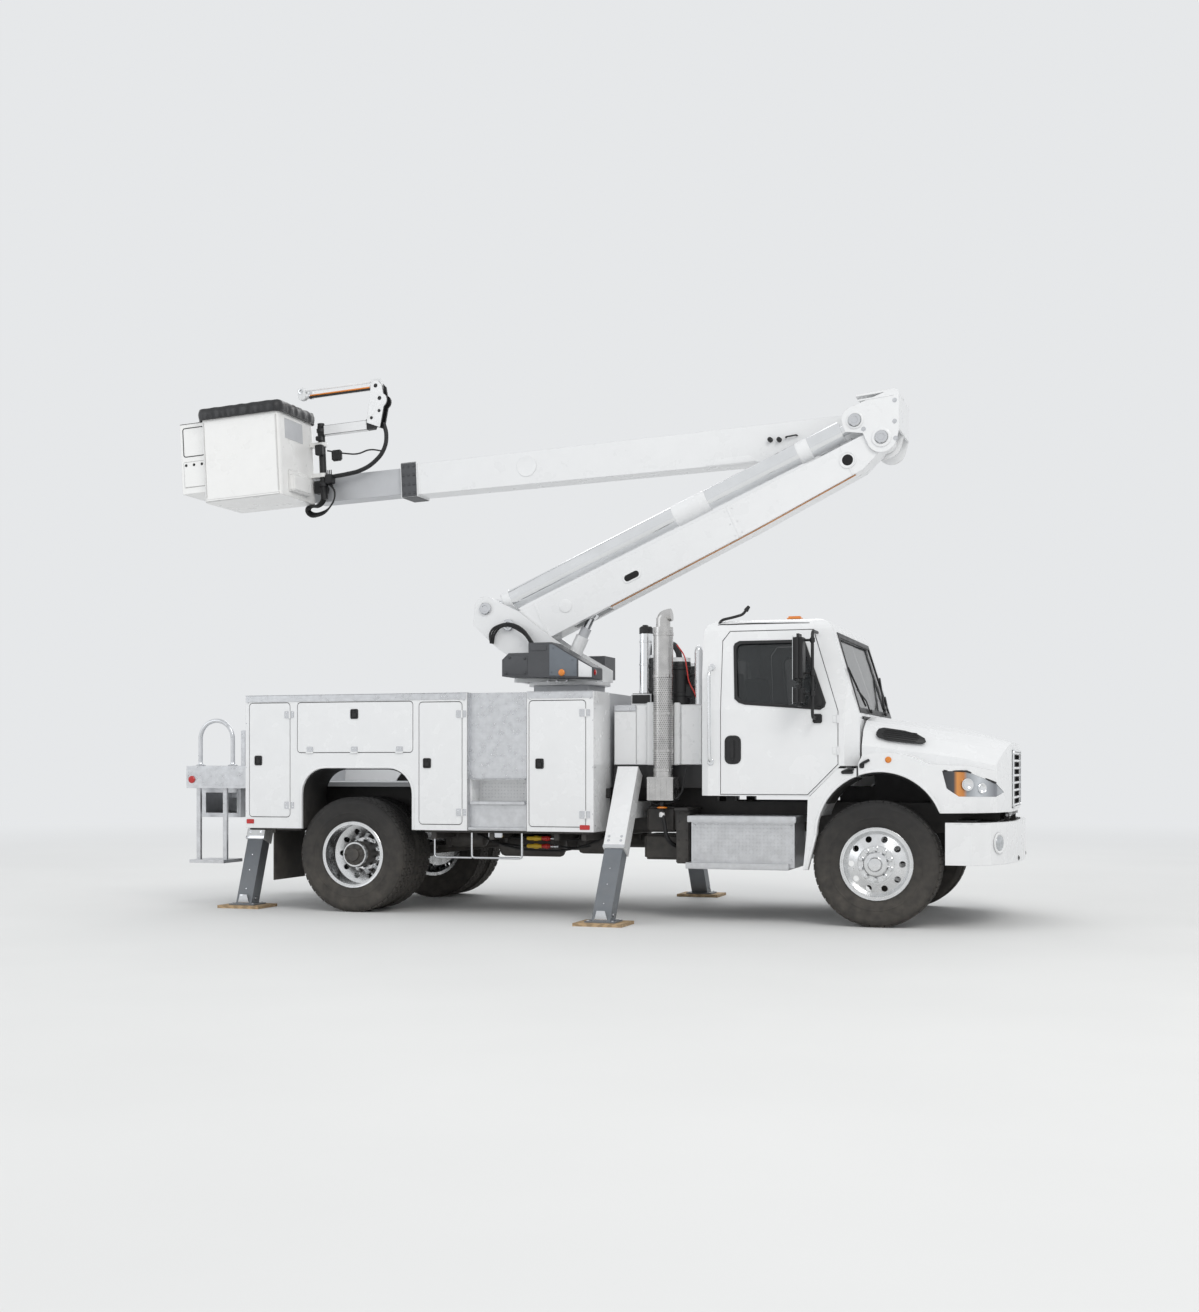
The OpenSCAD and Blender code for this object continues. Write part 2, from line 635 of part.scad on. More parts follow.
stack_x = 2820;
stack_y = 900;
stack_r = 85;
stack_top = 2500;
tank_low = 1320;
tank_top = 1840;
tank_y = 790;
module exhaust_stack() {
  color([0.7, 0.7, 0.72]) on_side(RIGHT) {
    rod_z(stack_x, stack_y, stack_r, 1210, stack_top);
    rod_z(stack_x, stack_y, stack_r - 24, stack_top - 1, stack_top + 80);
    block([stack_x - 115, stack_y - 95, 1020], [stack_x + 115, stack_y + 105, 1212]);
    for (z = [1420, 1740])
      block([stack_x - 30, tank_y + touch, z], [stack_x + 30, stack_y, z + 40]);
    block([stack_x - 60, rail_y + 330 + touch, 1140], [stack_x + 60, stack_y - 90, 1200]);
  }
}
module oil_tank() {
  color([0.9, 0.9, 0.91]) difference() {
    union() {
      block([2345, -tank_y, tank_low], [3135, tank_y, tank_top]);
      // air cleaners and the second pipe stand on top
      both_sides() rod_z(2700, 640, 70, tank_top - 1, 2280);
      both_sides() rod_z(2900, 660, 95, tank_top - 1, 2250);
      rod_z(2590, -640, 55, tank_top - 1, 2500);
      block([2480, -720, tank_top - 1], [2660, -500, 1940]);
    }
    block([2400, -560, 1760], [3080, 560, 2000]);
  }
}

// ---- service body ----
pack_in = body_half - pack_depth;
gap_x0 = 1125;
gap_x1 = 1682;
// doors: [x0, x1, z0, z1]
rear_door_at = [-1020, -610, 850, 1880];
drop_door_at = [-530, 605, 1433, 1880];
middle_door_at = [670, 1075, 800, 1870];
front_door_at = [1705, 2215, 790, 1870];
door_corner = 30;
arch_x = [-485, 600];
arch_corner = 230;
module panel_line(p, g) {
  round_box(p[0] - g, p[1] + g, p[2] - g, p[3] + g, door_corner + g);
}
module arch_line() {
  polygon(concat([[arch_x[0], 0], [arch_x[1], 0]],
    arc(arch_x[1] - arch_corner, arch_top - arch_corner, arch_corner, 0, 90, 6),
    arc(arch_x[0] + arch_corner, arch_top - arch_corner, arch_corner, 90, 180, 6)));
}
module side_pack(s) {
  t = body_wall;
  color([0.93, 0.93, 0.94]) on_side(s) difference() {
    block([body_back, pack_in, body_low], [body_front, body_half, body_top]);
    // wheel opening
    across(pack_in - 10, far) arch_line();
    // rooms behind the doors
    block([body_back + t, pack_in + t, body_low + t], [arch_x[0] - t, body_half - t, body_top - t]);
    block([arch_x[0], pack_in + t, arch_top + t], [arch_x[1], body_half - t, body_top - t]);
    block([arch_x[1] + t, pack_in + t, body_low + t], [gap_x0 - t, body_half - t, body_top - t]);
    block([gap_x1 + t, pack_in + t, body_low + t], [body_front - t, body_half - t, body_top - t]);
    // tread plate recess with a foot pocket, the way up to the deck
    block([gap_x0, body_half - 55, 0], [gap_x1, far, far]);
    block([gap_x0 + 25, body_half - 230, 1000], [gap_x1 - 25, far, 1190]);
    for (p = [rear_door_at, drop_door_at, middle_door_at, front_door_at])
      across(body_half - t - 1, far) panel_line(p, seam);
  }
}
module cargo_deck() {
  color([0.6, 0.61, 0.63]) difference() {
    union() {
      block([body_back, -pack_in + touch, sub_top + touch], [body_front, pack_in - touch, sub_top + 40]);
      block([body_back, -pack_in + touch, sub_top + 39], [body_back + 30, pack_in - touch, 1500]);
      block([body_front - 30, -pack_in + touch, sub_top + 39], [body_front, pack_in - touch, body_top]);
      // pedestal under the turret
      block([turret_x - 260, -260, sub_top + 39], [turret_x + 260, 260, turret_low - slip]);
    }
    block([turret_x - 200, -200, sub_top + 60], [turret_x + 200, 200, turret_low - 60]);
  }
}
// door hung on its front edge
module panel(p, s) {
  color([0.93, 0.93, 0.94]) on_side(s) {
    across(body_half - body_wall, body_half) panel_line(p, 0);
    for (z = [p[2] + 70, p[3] - 140]) hinge_up(p[1], body_half, z);
  }
}
// door hung on its lower edge
module drop_panel(p, s) {
  color([0.93, 0.93, 0.94]) on_side(s) {
    across(body_half - body_wall, body_half) panel_line(p, 0);
    for (x = [p[0] + 90, (p[0] + p[1]) / 2 - 35, p[1] - 160]) {
      rod_x(body_half + hinge_out, p[2] - seam / 2, hinge_r, x, x + 70);
      block([x + 6, body_half - 1, p[2] - seam / 2], [x + 64, body_half + leaf_out, p[2] + 40]);
    }
  }
}

// ---- tail ----
tail_x0 = -1713;
tail_x1 = body_back - 7;
module tail_shelf() {
  color([0.62, 0.63, 0.65]) {
    block([tail_x0, -1150, 1105], [tail_x1, 1150, 1310]);
    // carried by the ends of the rails
    both_sides() block([-1700, rail_y - 70, rail_top + touch], [tail_x1, rail_y - 10, 1106]);
    difference() {
      block([-1700, -900, 830], [-1290, 900, 1106]);
      block([-1660, -860, 870], [-1330, 860, 1060]);
      block([-1660, -far, 870], [-1330, far, 1060]);
    }
    both_sides() {
      for (x = [-1680, -1400]) block([x, 1000, 430], [x + 40, 1030, 1106]);
      block([-1700, 780, 410], [-1340, 1120, 440]);
      rod_z(-1600, 1090, 20, 1309, 1560);
      rod_z(-1260, 1090, 20, 1309, 1560);
      translate([-1430, 1090, 1560]) rotate([90, 0, 0])
        intersection() {
          rotate_extrude() translate([170, 0]) circle(20, $fn = 24);
          translate([-200, 0, -50]) cube([400, 200, 100]);
        }
      block([-1180, 1050, 1309], [-1140, 1080, 1640]);
    }
  }
}

// ---- outriggers ----
front_foot = [2510, 1610];
rear_foot = [-1168, 985];
foot_t = 12;
// a leg's own frame: its axis up from the foot, leaning in
module leg_frame(foot, lean) {
  translate([foot[0], foot[1], board_t + touch + foot_t]) rotate([lean, 0, 0]) children();
}
leg_depth = 130;
sleeve_wall = 12;
front_sleeve = [640, 1440];
rear_sleeve = [600, 1090];
module sleeve(foot, lean, span) {
  leg_frame(foot, lean) difference() {
    block([-leg_w / 2 - sleeve_wall - slip, -leg_depth / 2 - sleeve_wall - slip, span[0]],
          [leg_w / 2 + sleeve_wall + slip, leg_depth / 2 + sleeve_wall + slip, span[1]]);
    block([-leg_w / 2 - slip, -leg_depth / 2 - slip, span[0] - 1],
          [leg_w / 2 + slip, leg_depth / 2 + slip, span[1] - 10]);
  }
}
module outrigger_sleeves() {
  color([0.9, 0.9, 0.91]) both_sides() {
    sleeve(front_foot, front_splay, front_sleeve);
    sleeve(rear_foot, rear_splay, rear_sleeve);
    // brackets back to the frame
    difference() {
      block([front_foot[0] - 70, rail_y + touch, 860], [front_foot[0] + 70, 1000, 1000]);
      leg_frame(front_foot, front_splay)
        block([-leg_w / 2 - slip, -leg_depth / 2 - slip, 0], [leg_w / 2 + slip, far, 2000]);
    }
    difference() {
      block([rear_foot[0] - 60, rail_y + touch, 860], [rear_foot[0] + 60, 700, 960]);
      leg_frame(rear_foot, rear_splay)
        block([-leg_w / 2 - slip, -leg_depth / 2 - slip, 0], [leg_w / 2 + slip, far, 2000]);
    }
  }
}
module leg(foot, lean, top, s) {
  color([0.45, 0.47, 0.5]) on_side(s) {
    difference() {
      leg_frame(foot, lean) block([-leg_w / 2, -leg_depth / 2, 2 - 60], [leg_w / 2, leg_depth / 2, top]);
      translate([foot[0] - 500, foot[1] - 500, -200]) cube([1000, 1000, 200 + board_t + touch + foot_t - 1]);
    }
    block([foot[0] - 130, foot[1] - 110, board_t + touch],
          [foot[0] + 130, foot[1] + 110, board_t + touch + foot_t]);
  }
  color([0.75, 0.6, 0.42]) on_side(s)
    block([foot[0] - 210, foot[1] - 180, 0], [foot[0] + 210, foot[1] + 180, board_t]);
}

// ---- turret and booms ----
// pins, in X and Z
root_pin = [1175, 2609];
link_step = [-230, 160];
link_pin = root_pin + link_step;
tip_pin = root_pin + lower_len * [cos(lower_angle), sin(lower_angle)];
link_tip = tip_pin + link_step;
lift_foot = [1668, 2152];
lift_eye = root_pin + turned([735, -229], lower_angle);
lift_len = norm(lift_eye - lift_foot);
lift_angle = atan2(lift_eye[1] - lift_foot[1], lift_eye[0] - lift_foot[0]);
lower_y = [-292, -292 + lower_w];      // the lower boom hangs right of the centre line
plate_t = 20;
turret_y = [lower_y[0] - plate_t - 8, lower_y[1] + 8];
upper_y = [34, 34 + upper_w];          // the upper boom lies left of it
pin_r = 32;
module pin_y(p, r, y0, y1) { rod_y(p[0], p[1], r, y0, y1); }
module turret_plate(y) {
  across(y, y + plate_t) polygon(concat(
    arc(link_pin[0], link_pin[1], 115, 45, 190, 8),
    [[820, 2620], [1060, 2400], [1230, 2290], [1230, turret_low + 30], [2080, turret_low + 30],
     [2080, 2190], [1720, 2400], [1470, 2580], [1270, 2735]]));
}
module turret() {
  color([0.92, 0.92, 0.93]) {
    rod_z(turret_x, 0, 380, turret_low, turret_low + 32);
    for (y = [turret_y[0], turret_y[1]]) turret_plate(y);
    block([1240, turret_y[0] + 1, turret_low + 31], [1290, turret_y[1] + 19, 2240]);
    pin_y(root_pin, pin_r, turret_y[0] - 20, turret_y[1] + plate_t + 10);
    pin_y(link_pin, pin_r - 6, turret_y[0] - 14, turret_y[1] + plate_t + 10);
    pin_y(lift_foot, 18, turret_y[0] + 1, turret_y[1] + 5);
  }
}
module turret_cover() {
  color([0.4, 0.41, 0.43]) {
    across(-620, turret_y[0] - 22) polygon([[1225, 2120], [2090, 2090], [2090, 2190], [1850, 2330],
      [1700, 2420], [1480, 2420], [1480, 2330], [1290, 2330], [1225, 2270]]);
    for (x = [1500, 1800]) block([x, turret_y[0] - 23, 2200], [x + 60, turret_y[0] - touch, 2260]);
    block([1500, turret_y[1] + plate_t + touch, 2120], [2000, 330, 2330]);
  }
}
lift_y = (lower_y[0] + lower_y[1]) / 2;
stage_r = 48;
rod_r = 34;
barrel_len = 390;
stage_len = 330;
rod_len = 385;
stage_at = 145;
module lift_frame() {
  translate([lift_foot[0], lift_y, lift_foot[1]]) rotate([0, 90 - lift_angle, 0]) children();
}
module lift_barrel() {
  color([0.9, 0.9, 0.91]) difference() {
    union() {
      lift_frame() cylinder(r = 62, h = barrel_len);
      pin_y(lift_foot, 50, lift_y - 60, lift_y + 60);
    }
    pin_y(lift_foot, 18 + slip, -far, far);
    lift_frame() translate([0, 0, 58]) cylinder(r = stage_r + slip, h = far);
  }
}
module lift_stage() {
  color([0.6, 0.61, 0.63]) lift_frame() difference() {
    translate([0, 0, stage_at]) cylinder(r = stage_r, h = stage_len);
    translate([0, 0, stage_at - 1]) cylinder(r = rod_r + slip, h = far);
  }
}
module lift_rod() {
  color([0.85, 0.86, 0.88]) difference() {
    union() {
      lift_frame() translate([0, 0, lift_len - rod_len]) cylinder(r = rod_r, h = rod_len - 5);
      pin_y(lift_eye, 44, lift_y - 38, lift_y + 38);
    }
    pin_y(lift_eye, 20, -far, far);
  }
}
module lower_frame() {
  translate([root_pin[0], 0, root_pin[1]]) rotate([0, -lower_angle, 0]) children();
}
lift_cheek = 70;
module lower_boom() {
  tip = lower_len;
  color([0.93, 0.93, 0.94]) difference() {
    union() {
      lower_frame() {
        difference() {
          across(lower_y[0], lower_y[1]) polygon(concat(
            arc(0, 0, 95, 110, 220, 8),
            [[160, -272], [2420, -222], [tip - 260, -175]],
            arc(tip, 0, 92, 250, 430, 10),
            [[tip - 170, 98], [tip - 330, 98], [2380, 80], [260, 80]]));
          across(lower_y[0] + 14, lower_y[1] - 14) polygon([[300, -235], [2400, -195],
            [tip - 330, -140], [tip - 330, 70], [2380, 60], [300, 60]]);
        }
        // cheeks that hold the lift rod's pin
        for (y = [lift_y - lift_cheek - 14, lift_y + lift_cheek])
          across(y, y + 14) polygon(concat(arc(735, -229, 42, 180, 360, 8), [[820, -228], [650, -228]]));
      }
    }
    pin_y(root_pin, pin_r + slip, -far, far);
    pin_y(tip_pin, pin_r + slip, -far, far);
    // room for the rod's eye
    lower_frame() across(lift_y - lift_cheek, lift_y + lift_cheek)
      polygon([[540, -150], [920, -150], [920, -400], [540, -400]]);
  }
}
module levelling_link() {
  color([0.82, 0.83, 0.85]) difference() {
    union() {
      translate([link_pin[0], lift_y, link_pin[1]]) rotate([0, 90 - lower_angle, 0]) {
        translate([0, 0, 150]) cylinder(r = link_d / 2, h = lower_len - 300);
        translate([0, 0, 0]) cylinder(r = 46, h = 160);
        translate([0, 0, lower_len - 160]) cylinder(r = 46, h = 160);
      }
      pin_y(link_pin, 62, lift_y - 70, lift_y + 70);
      pin_y(link_tip, 62, lift_y - 70, lift_y + 70);
    }
    pin_y(link_pin, pin_r - 6 + slip, -far, far);
    pin_y(link_tip, pin_r - 6 + open_slip, -far, far);
  }
}
upper_pin = [4520, 4260];
elbow_y = [turret_y[0], upper_y[1] + 8];
function elbow_line() = concat(
  arc(link_tip[0] - 10, link_tip[1] + 15, 105, 100, 200, 6),
  [[4290, 4200]], [[4440, 4180]],
  arc(tip_pin[0], tip_pin[1], 130, 215, 350, 8),
  [[4752, 4200], [4752, 4510]],
  arc(4702, 4500, 50, 10, 90, 4));
module elbow() {
  color([0.93, 0.93, 0.94]) {
    across(elbow_y[0], elbow_y[0] + plate_t) polygon(elbow_line());
    across(lower_y[1] + 8, lower_y[1] + 8 + plate_t) polygon(elbow_line());
    across(elbow_y[1], elbow_y[1] + plate_t) polygon(elbow_line());
    // front cover, and a top cover over the link
    block([4736, elbow_y[0], 4200], [4752, elbow_y[1] + plate_t, 4500]);
    across(elbow_y[0] + 1, lower_y[1] + 9) polygon([[4380, 4495], [4720, 4530], [4720, 4549],
      [4380, 4514]]);
    pin_y(tip_pin, pin_r, elbow_y[0] - 14, lower_y[1] + plate_t + 12);
    pin_y(link_tip, pin_r - 6, elbow_y[0] - 14, lower_y[1] + 20);
    pin_y(upper_pin, pin_r, lower_y[1] + 10, elbow_y[1] + plate_t + 14);
  }
}
// frame of the upper boom: its pin at the origin, X towards the bucket
module upper_frame() {
  translate([upper_pin[0], 0, upper_pin[1]]) rotate([0, 180 - upper_slope, 0]) mirror([0, 0, 1])
    children();
}
inner_d = 250;
inner_in = 1500;
upper_root_d = 340;
upper_mouth_d = 296;
module upper_boom() {
  hw = upper_w - 2 * upper_wall;
  color([0.93, 0.93, 0.94]) difference() {
    union() {
      upper_frame() {
        difference() {
          across(upper_y[0], upper_y[1]) polygon(concat(
            arc(0, 0, upper_root_d / 2 - 10, 90, 270, 12),
            [[200, -upper_root_d / 2], [upper_len, -upper_mouth_d / 2],
             [upper_len, upper_mouth_d / 2], [200, upper_root_d / 2]]));
          across(upper_y[0] + upper_wall, upper_y[1] - upper_wall) polygon([
            [240, -upper_root_d / 2 + upper_wall], [upper_len + 1, -upper_mouth_d / 2 + upper_wall],
            [upper_len + 1, upper_mouth_d / 2 - upper_wall], [240, upper_root_d / 2 - upper_wall]]);
        }
      }
      // collar at the mouth
      upper_frame() difference() {
        block([upper_len - 1, upper_y[0] - 12, -165], [upper_len + 170, upper_y[1] + 12, 165]);
        block([upper_len - 2, inner_y0 - slip, -inner_d / 2 - slip],
              [upper_len + 171, inner_y1 + slip, inner_d / 2 + slip]);
      }
    }
    pin_y(upper_pin, pin_r + slip, -far, far);
  }
}
inner_y0 = upper_y[0] + upper_wall + 10;
inner_y1 = upper_y[1] - upper_wall - 10;
tip_at = upper_len + 170 + inner_out;
module inner_boom() {
  color([0.87, 0.88, 0.89]) difference() {
    upper_frame() difference() {
      across(inner_y0, inner_y1) polygon(concat(
        [[upper_len + 170 - inner_in, -inner_d / 2]],
        [[tip_at + 60, -inner_d / 2]], arc(tip_at + 100, -25, 100, 270, 360, 5),
        arc(tip_at + 100, 25, 100, 0, 90, 5),
        [[upper_len + 170 - inner_in, inner_d / 2]]));
      across(inner_y0 + 12, inner_y1 - 12) polygon([
        [upper_len + 160 - inner_in, -inner_d / 2 + 12], [tip_at - 120, -inner_d / 2 + 12],
        [tip_at - 120, inner_d / 2 - 12], [upper_len + 160 - inner_in, inner_d / 2 - 12]]);
    }
    pin_y(bucket_pin, 30 + slip, -far, far);
  }
}

// ---- bucket ----
bucket_pin = upper_pin + tip_at * [-cos(upper_slope), -sin(upper_slope)];
// frame of the bucket: origin on its pin, leaning down to the rear
module bucket_frame() {
  translate([bucket_pin[0], 0, bucket_pin[1]]) rotate([0, -bucket_tilt, 0]) children();
}
mast = [45, -60, 34];
bucket_x1 = -62;
bucket_x0 = bucket_x1 - bucket_len;
bucket_y1 = -22;
bucket_y0 = bucket_y1 - bucket_w;
bucket_z0 = -160;
bucket_z1 = bucket_z0 + bucket_h;
pod_x = bucket_x0 - 285;
pod_z1 = 640;
jib_head = [675, 905];
jib_pin_r = 14;
module bucket_bracket() {
  color([0.1, 0.1, 0.11]) {
      bucket_frame() {
        rod_z(mast[0], mast[1], mast[2], -120, 620);
        block([-45, -90, -60], [70, -14, 60]);
        // arm out to the jib's head, and the head's plates
        across(-92, -28) polygon([[20, 500], [620, 500], [700, 640], [600, 640], [540, 590], [20, 590]]);
        for (y = [-116, -24]) across(y, y + 20) polygon(concat(
          [[560, 560], [700, 500]], arc(jib_head[0] + 40, jib_head[1] - 145, 70, 300, 420, 5),
          [[740, jib_head[1]]], arc(jib_head[0], jib_head[1], 50, 20, 160, 6)));
        block([565, -97, 565], [600, -23, 640]);
        rod_y(jib_head[0], jib_head[1], jib_pin_r, -120, 0);
      }
      bucket_frame() rod_y(0, 0, 44, -50, inner_y0 - 4);
      bucket_frame() rod_y(0, 0, 30, -50, inner_y1 + 20);
  }
}
module bucket() {
  t = bucket_wall;
  color([0.95, 0.95, 0.96]) bucket_frame() {
    difference() {
      translate([0, 0, bucket_z0]) linear_extrude(bucket_h)
        round_box(bucket_x0, bucket_x1, bucket_y0, bucket_y1, 40);
      translate([0, 0, bucket_z0 + t]) linear_extrude(bucket_h)
        round_box(bucket_x0 + t, bucket_x1 - t, bucket_y0 + t, bucket_y1 - t, 30);
    }
    // lugs round the mast
    for (z = [90, 390]) difference() {
      union() {
        block([bucket_x1 - 1, mast[1] - 45, z], [mast[0], mast[1] + 38, z + 40]);
        rod_z(mast[0], mast[1], mast[2] + 16, z, z + 40);
      }
      rod_z(mast[0], mast[1], mast[2] + slip, z - 1, z + 41);
    }
    // tool pod on the end
    difference() {
      block([pod_x, bucket_y0 + 90, -40], [bucket_x0 + 1, bucket_y1 - 90, pod_z1]);
      block([pod_x + t, bucket_y0 + 90 + t, -40 + t], [bucket_x0 - t, bucket_y1 - 90 - t, pod_z1 + 1]);
    }
  }
}
cover_lip = 38;
module bucket_cover() {
  color([0.03, 0.03, 0.035]) bucket_frame() difference() {
    translate([0, 0, bucket_z1 - 14]) linear_extrude(118)
      round_box(bucket_x0 - cover_lip, bucket_x1 + cover_lip, bucket_y0 - cover_lip,
                bucket_y1 + cover_lip, 70);
    translate([0, 0, bucket_z1 - 15]) linear_extrude(15 + touch)
      round_box(bucket_x0 - touch, bucket_x1 + touch, bucket_y0 - touch, bucket_y1 + touch, 40);
    block([pod_x - 10, bucket_y0 + 85, 0], [bucket_x0 + 1 + touch, bucket_y1 - 85, pod_z1 + 6]);
  }
}
jib_len = 800;
jib_bore_r = 12;
module jib_arm() {
  color([0.85, 0.85, 0.86]) bucket_frame() translate([jib_head[0], 0, jib_head[1]]) difference() {
    union() {
    rod_x(-60, 0, 26, -jib_len, 0);
    rod_x(-60, 55, 12, -jib_len + 20, 0);
    for (y = [-88, -44]) across(y, y + 12)
      round_box(-jib_len - 50, -jib_len + 30, -35, 85, 30);
    block([-60, -92, -40], [40, -28, 70]);
    }
    rod_y(0, 0, jib_pin_r + slip, -far, far);
    rod_y(-jib_len - 20, 50, jib_bore_r, -far, far);
  }
}

// ---- the whole truck, standing at the middle of its length ----
rear_end = bucket_pin[0] + pod_x * cos(bucket_tilt) - pod_z1 * sin(bucket_tilt);
module placed() { translate([-(front_end + rear_end) / 2, 0, 0]) children(); }
placed() chassis_frame();
placed() engine_block();
placed() front_axle();
placed() rear_axle();
placed() knuckle(RIGHT);  // front_knuckle_right
placed() knuckle(LEFT);  // front_knuckle_left
placed() front_tyre(RIGHT);  // front_tyre_right
placed() front_tyre(LEFT);  // front_tyre_left
placed() front_rim(RIGHT);  // front_rim_right
placed() front_rim(LEFT);  // front_rim_left
placed() rear_tyres(RIGHT);  // rear_tyres_right
placed() rear_tyres(LEFT);  // rear_tyres_left
placed() rear_rims(RIGHT);  // rear_rims_right
placed() rear_rims(LEFT);  // rear_rims_left
placed() cab_shell();
placed() cab_glass();
placed() cab_door(RIGHT);  // cab_door_right
placed() cab_door(LEFT);  // cab_door_left
placed() cab_interior();
placed() mirrors(RIGHT);  // mirrors_right
placed() mirrors(LEFT);  // mirrors_left
placed() hood();
placed() grille();
placed() headlights();
placed() bumper();
placed() step_box();
placed() fuel_tank();
placed() exhaust_stack();
placed() oil_tank();
placed() side_pack(RIGHT);  // side_pack_right
placed() side_pack(LEFT);  // side_pack_left
placed() cargo_deck();
placed() panel(rear_door_at, RIGHT);  // rear_door_right
placed() panel(rear_door_at, LEFT);  // rear_door_left
placed() drop_panel(drop_door_at, RIGHT);  // drop_door_right
placed() drop_panel(drop_door_at, LEFT);  // drop_door_left
placed() panel(middle_door_at, RIGHT);  // middle_door_right
placed() panel(middle_door_at, LEFT);  // middle_door_left
placed() panel(front_door_at, RIGHT);  // front_door_right
placed() panel(front_door_at, LEFT);  // front_door_left
placed() tail_shelf();
placed() outrigger_sleeves();
placed() leg(front_foot, front_splay, 940, RIGHT);  // front_leg_right
placed() leg(front_foot, front_splay, 940, LEFT);  // front_leg_left
placed() leg(rear_foot, rear_splay, 790, RIGHT);  // rear_leg_right
placed() leg(rear_foot, rear_splay, 790, LEFT);  // rear_leg_left
placed() turret();
placed() turret_cover();
placed() lift_barrel();
placed() lift_stage();
placed() lift_rod();
placed() lower_boom();
placed() levelling_link();
placed() elbow();
placed() upper_boom();
placed() inner_boom();
placed() bucket_bracket();
placed() bucket();
placed() bucket_cover();
placed() jib_arm();
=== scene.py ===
# %% [markdown]
# # A bucket truck, finished piece by piece
# The CAD model gives every part of the truck its place and its size, and all that moves.
# This lesson adds what a maker would fit afterwards: wheels with nuts and tread, lamps, latches,
# hoses, tread plate, a soft bucket cover, and a finish for each surface.
# Each step first says what the real thing is, then how it could be made, then why one way was chosen.

# %% Load the truck
import bmesh
import bpy
import math
import random
from math import cos, pi, radians, sin
from mathutils import Matrix, Vector


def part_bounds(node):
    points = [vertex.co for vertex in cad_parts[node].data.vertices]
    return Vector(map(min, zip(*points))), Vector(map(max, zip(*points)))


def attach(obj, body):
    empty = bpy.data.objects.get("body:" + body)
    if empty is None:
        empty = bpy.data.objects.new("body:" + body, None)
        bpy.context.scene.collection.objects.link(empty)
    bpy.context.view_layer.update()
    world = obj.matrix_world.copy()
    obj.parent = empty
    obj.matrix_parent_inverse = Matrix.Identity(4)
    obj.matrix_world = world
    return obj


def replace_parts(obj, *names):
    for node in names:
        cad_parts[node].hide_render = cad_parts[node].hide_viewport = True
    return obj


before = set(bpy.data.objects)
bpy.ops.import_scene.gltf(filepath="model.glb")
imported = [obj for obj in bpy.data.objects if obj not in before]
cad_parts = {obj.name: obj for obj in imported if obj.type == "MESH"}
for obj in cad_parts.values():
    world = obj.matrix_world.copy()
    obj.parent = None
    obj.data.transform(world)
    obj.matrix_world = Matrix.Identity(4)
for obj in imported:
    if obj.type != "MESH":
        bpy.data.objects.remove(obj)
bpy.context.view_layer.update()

# %% [markdown]
# Measuring from a fixed point keeps the numbers readable. A truck fitter measures along the frame
# from the rear axle, and up from the ground, so that is what every place below means.
# The axle's own place is read from the rear wheels.

# %% Measure from the rear axle
wheel_low, wheel_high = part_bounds("rear_rims_right")
AXLE_X = (wheel_low.x + wheel_high.x) / 2
RIGHT, LEFT = -1, 1


def at(x, y, z):
    return Vector((AXLE_X + x, y, z))


print("rear axle at x =", round(AXLE_X, 3))

# %% [markdown]
# ## A small workshop
# Blender can build from its menus' primitives, from modifiers, or from mesh code. A truck has
# hundreds of small fittings, so a helper that collects many bevelled shapes into one mesh is the
# quickest: one object per kind of fitting, and no object is a bare cube or cylinder.

# %% A maker that joins many small shapes into one piece
MIRROR = Matrix.Scale(-1, 4, (0, 1, 0))


def facing(origin, direction, up=(0, 0, 1)):
    """A matrix whose Z looks along direction, at origin."""
    z = Vector(direction).normalized()
    x = Vector(up).cross(z)
    if x.length < 1e-5:
        x = Vector((1, 0, 0)).cross(z) if abs(z.x) < 0.9 else Vector((0, 1, 0)).cross(z)
    x.normalize()
    y = z.cross(x)
    turned = Matrix((x, y, z)).transposed().to_4x4()
    return Matrix.Translation(Vector(origin)) @ turned


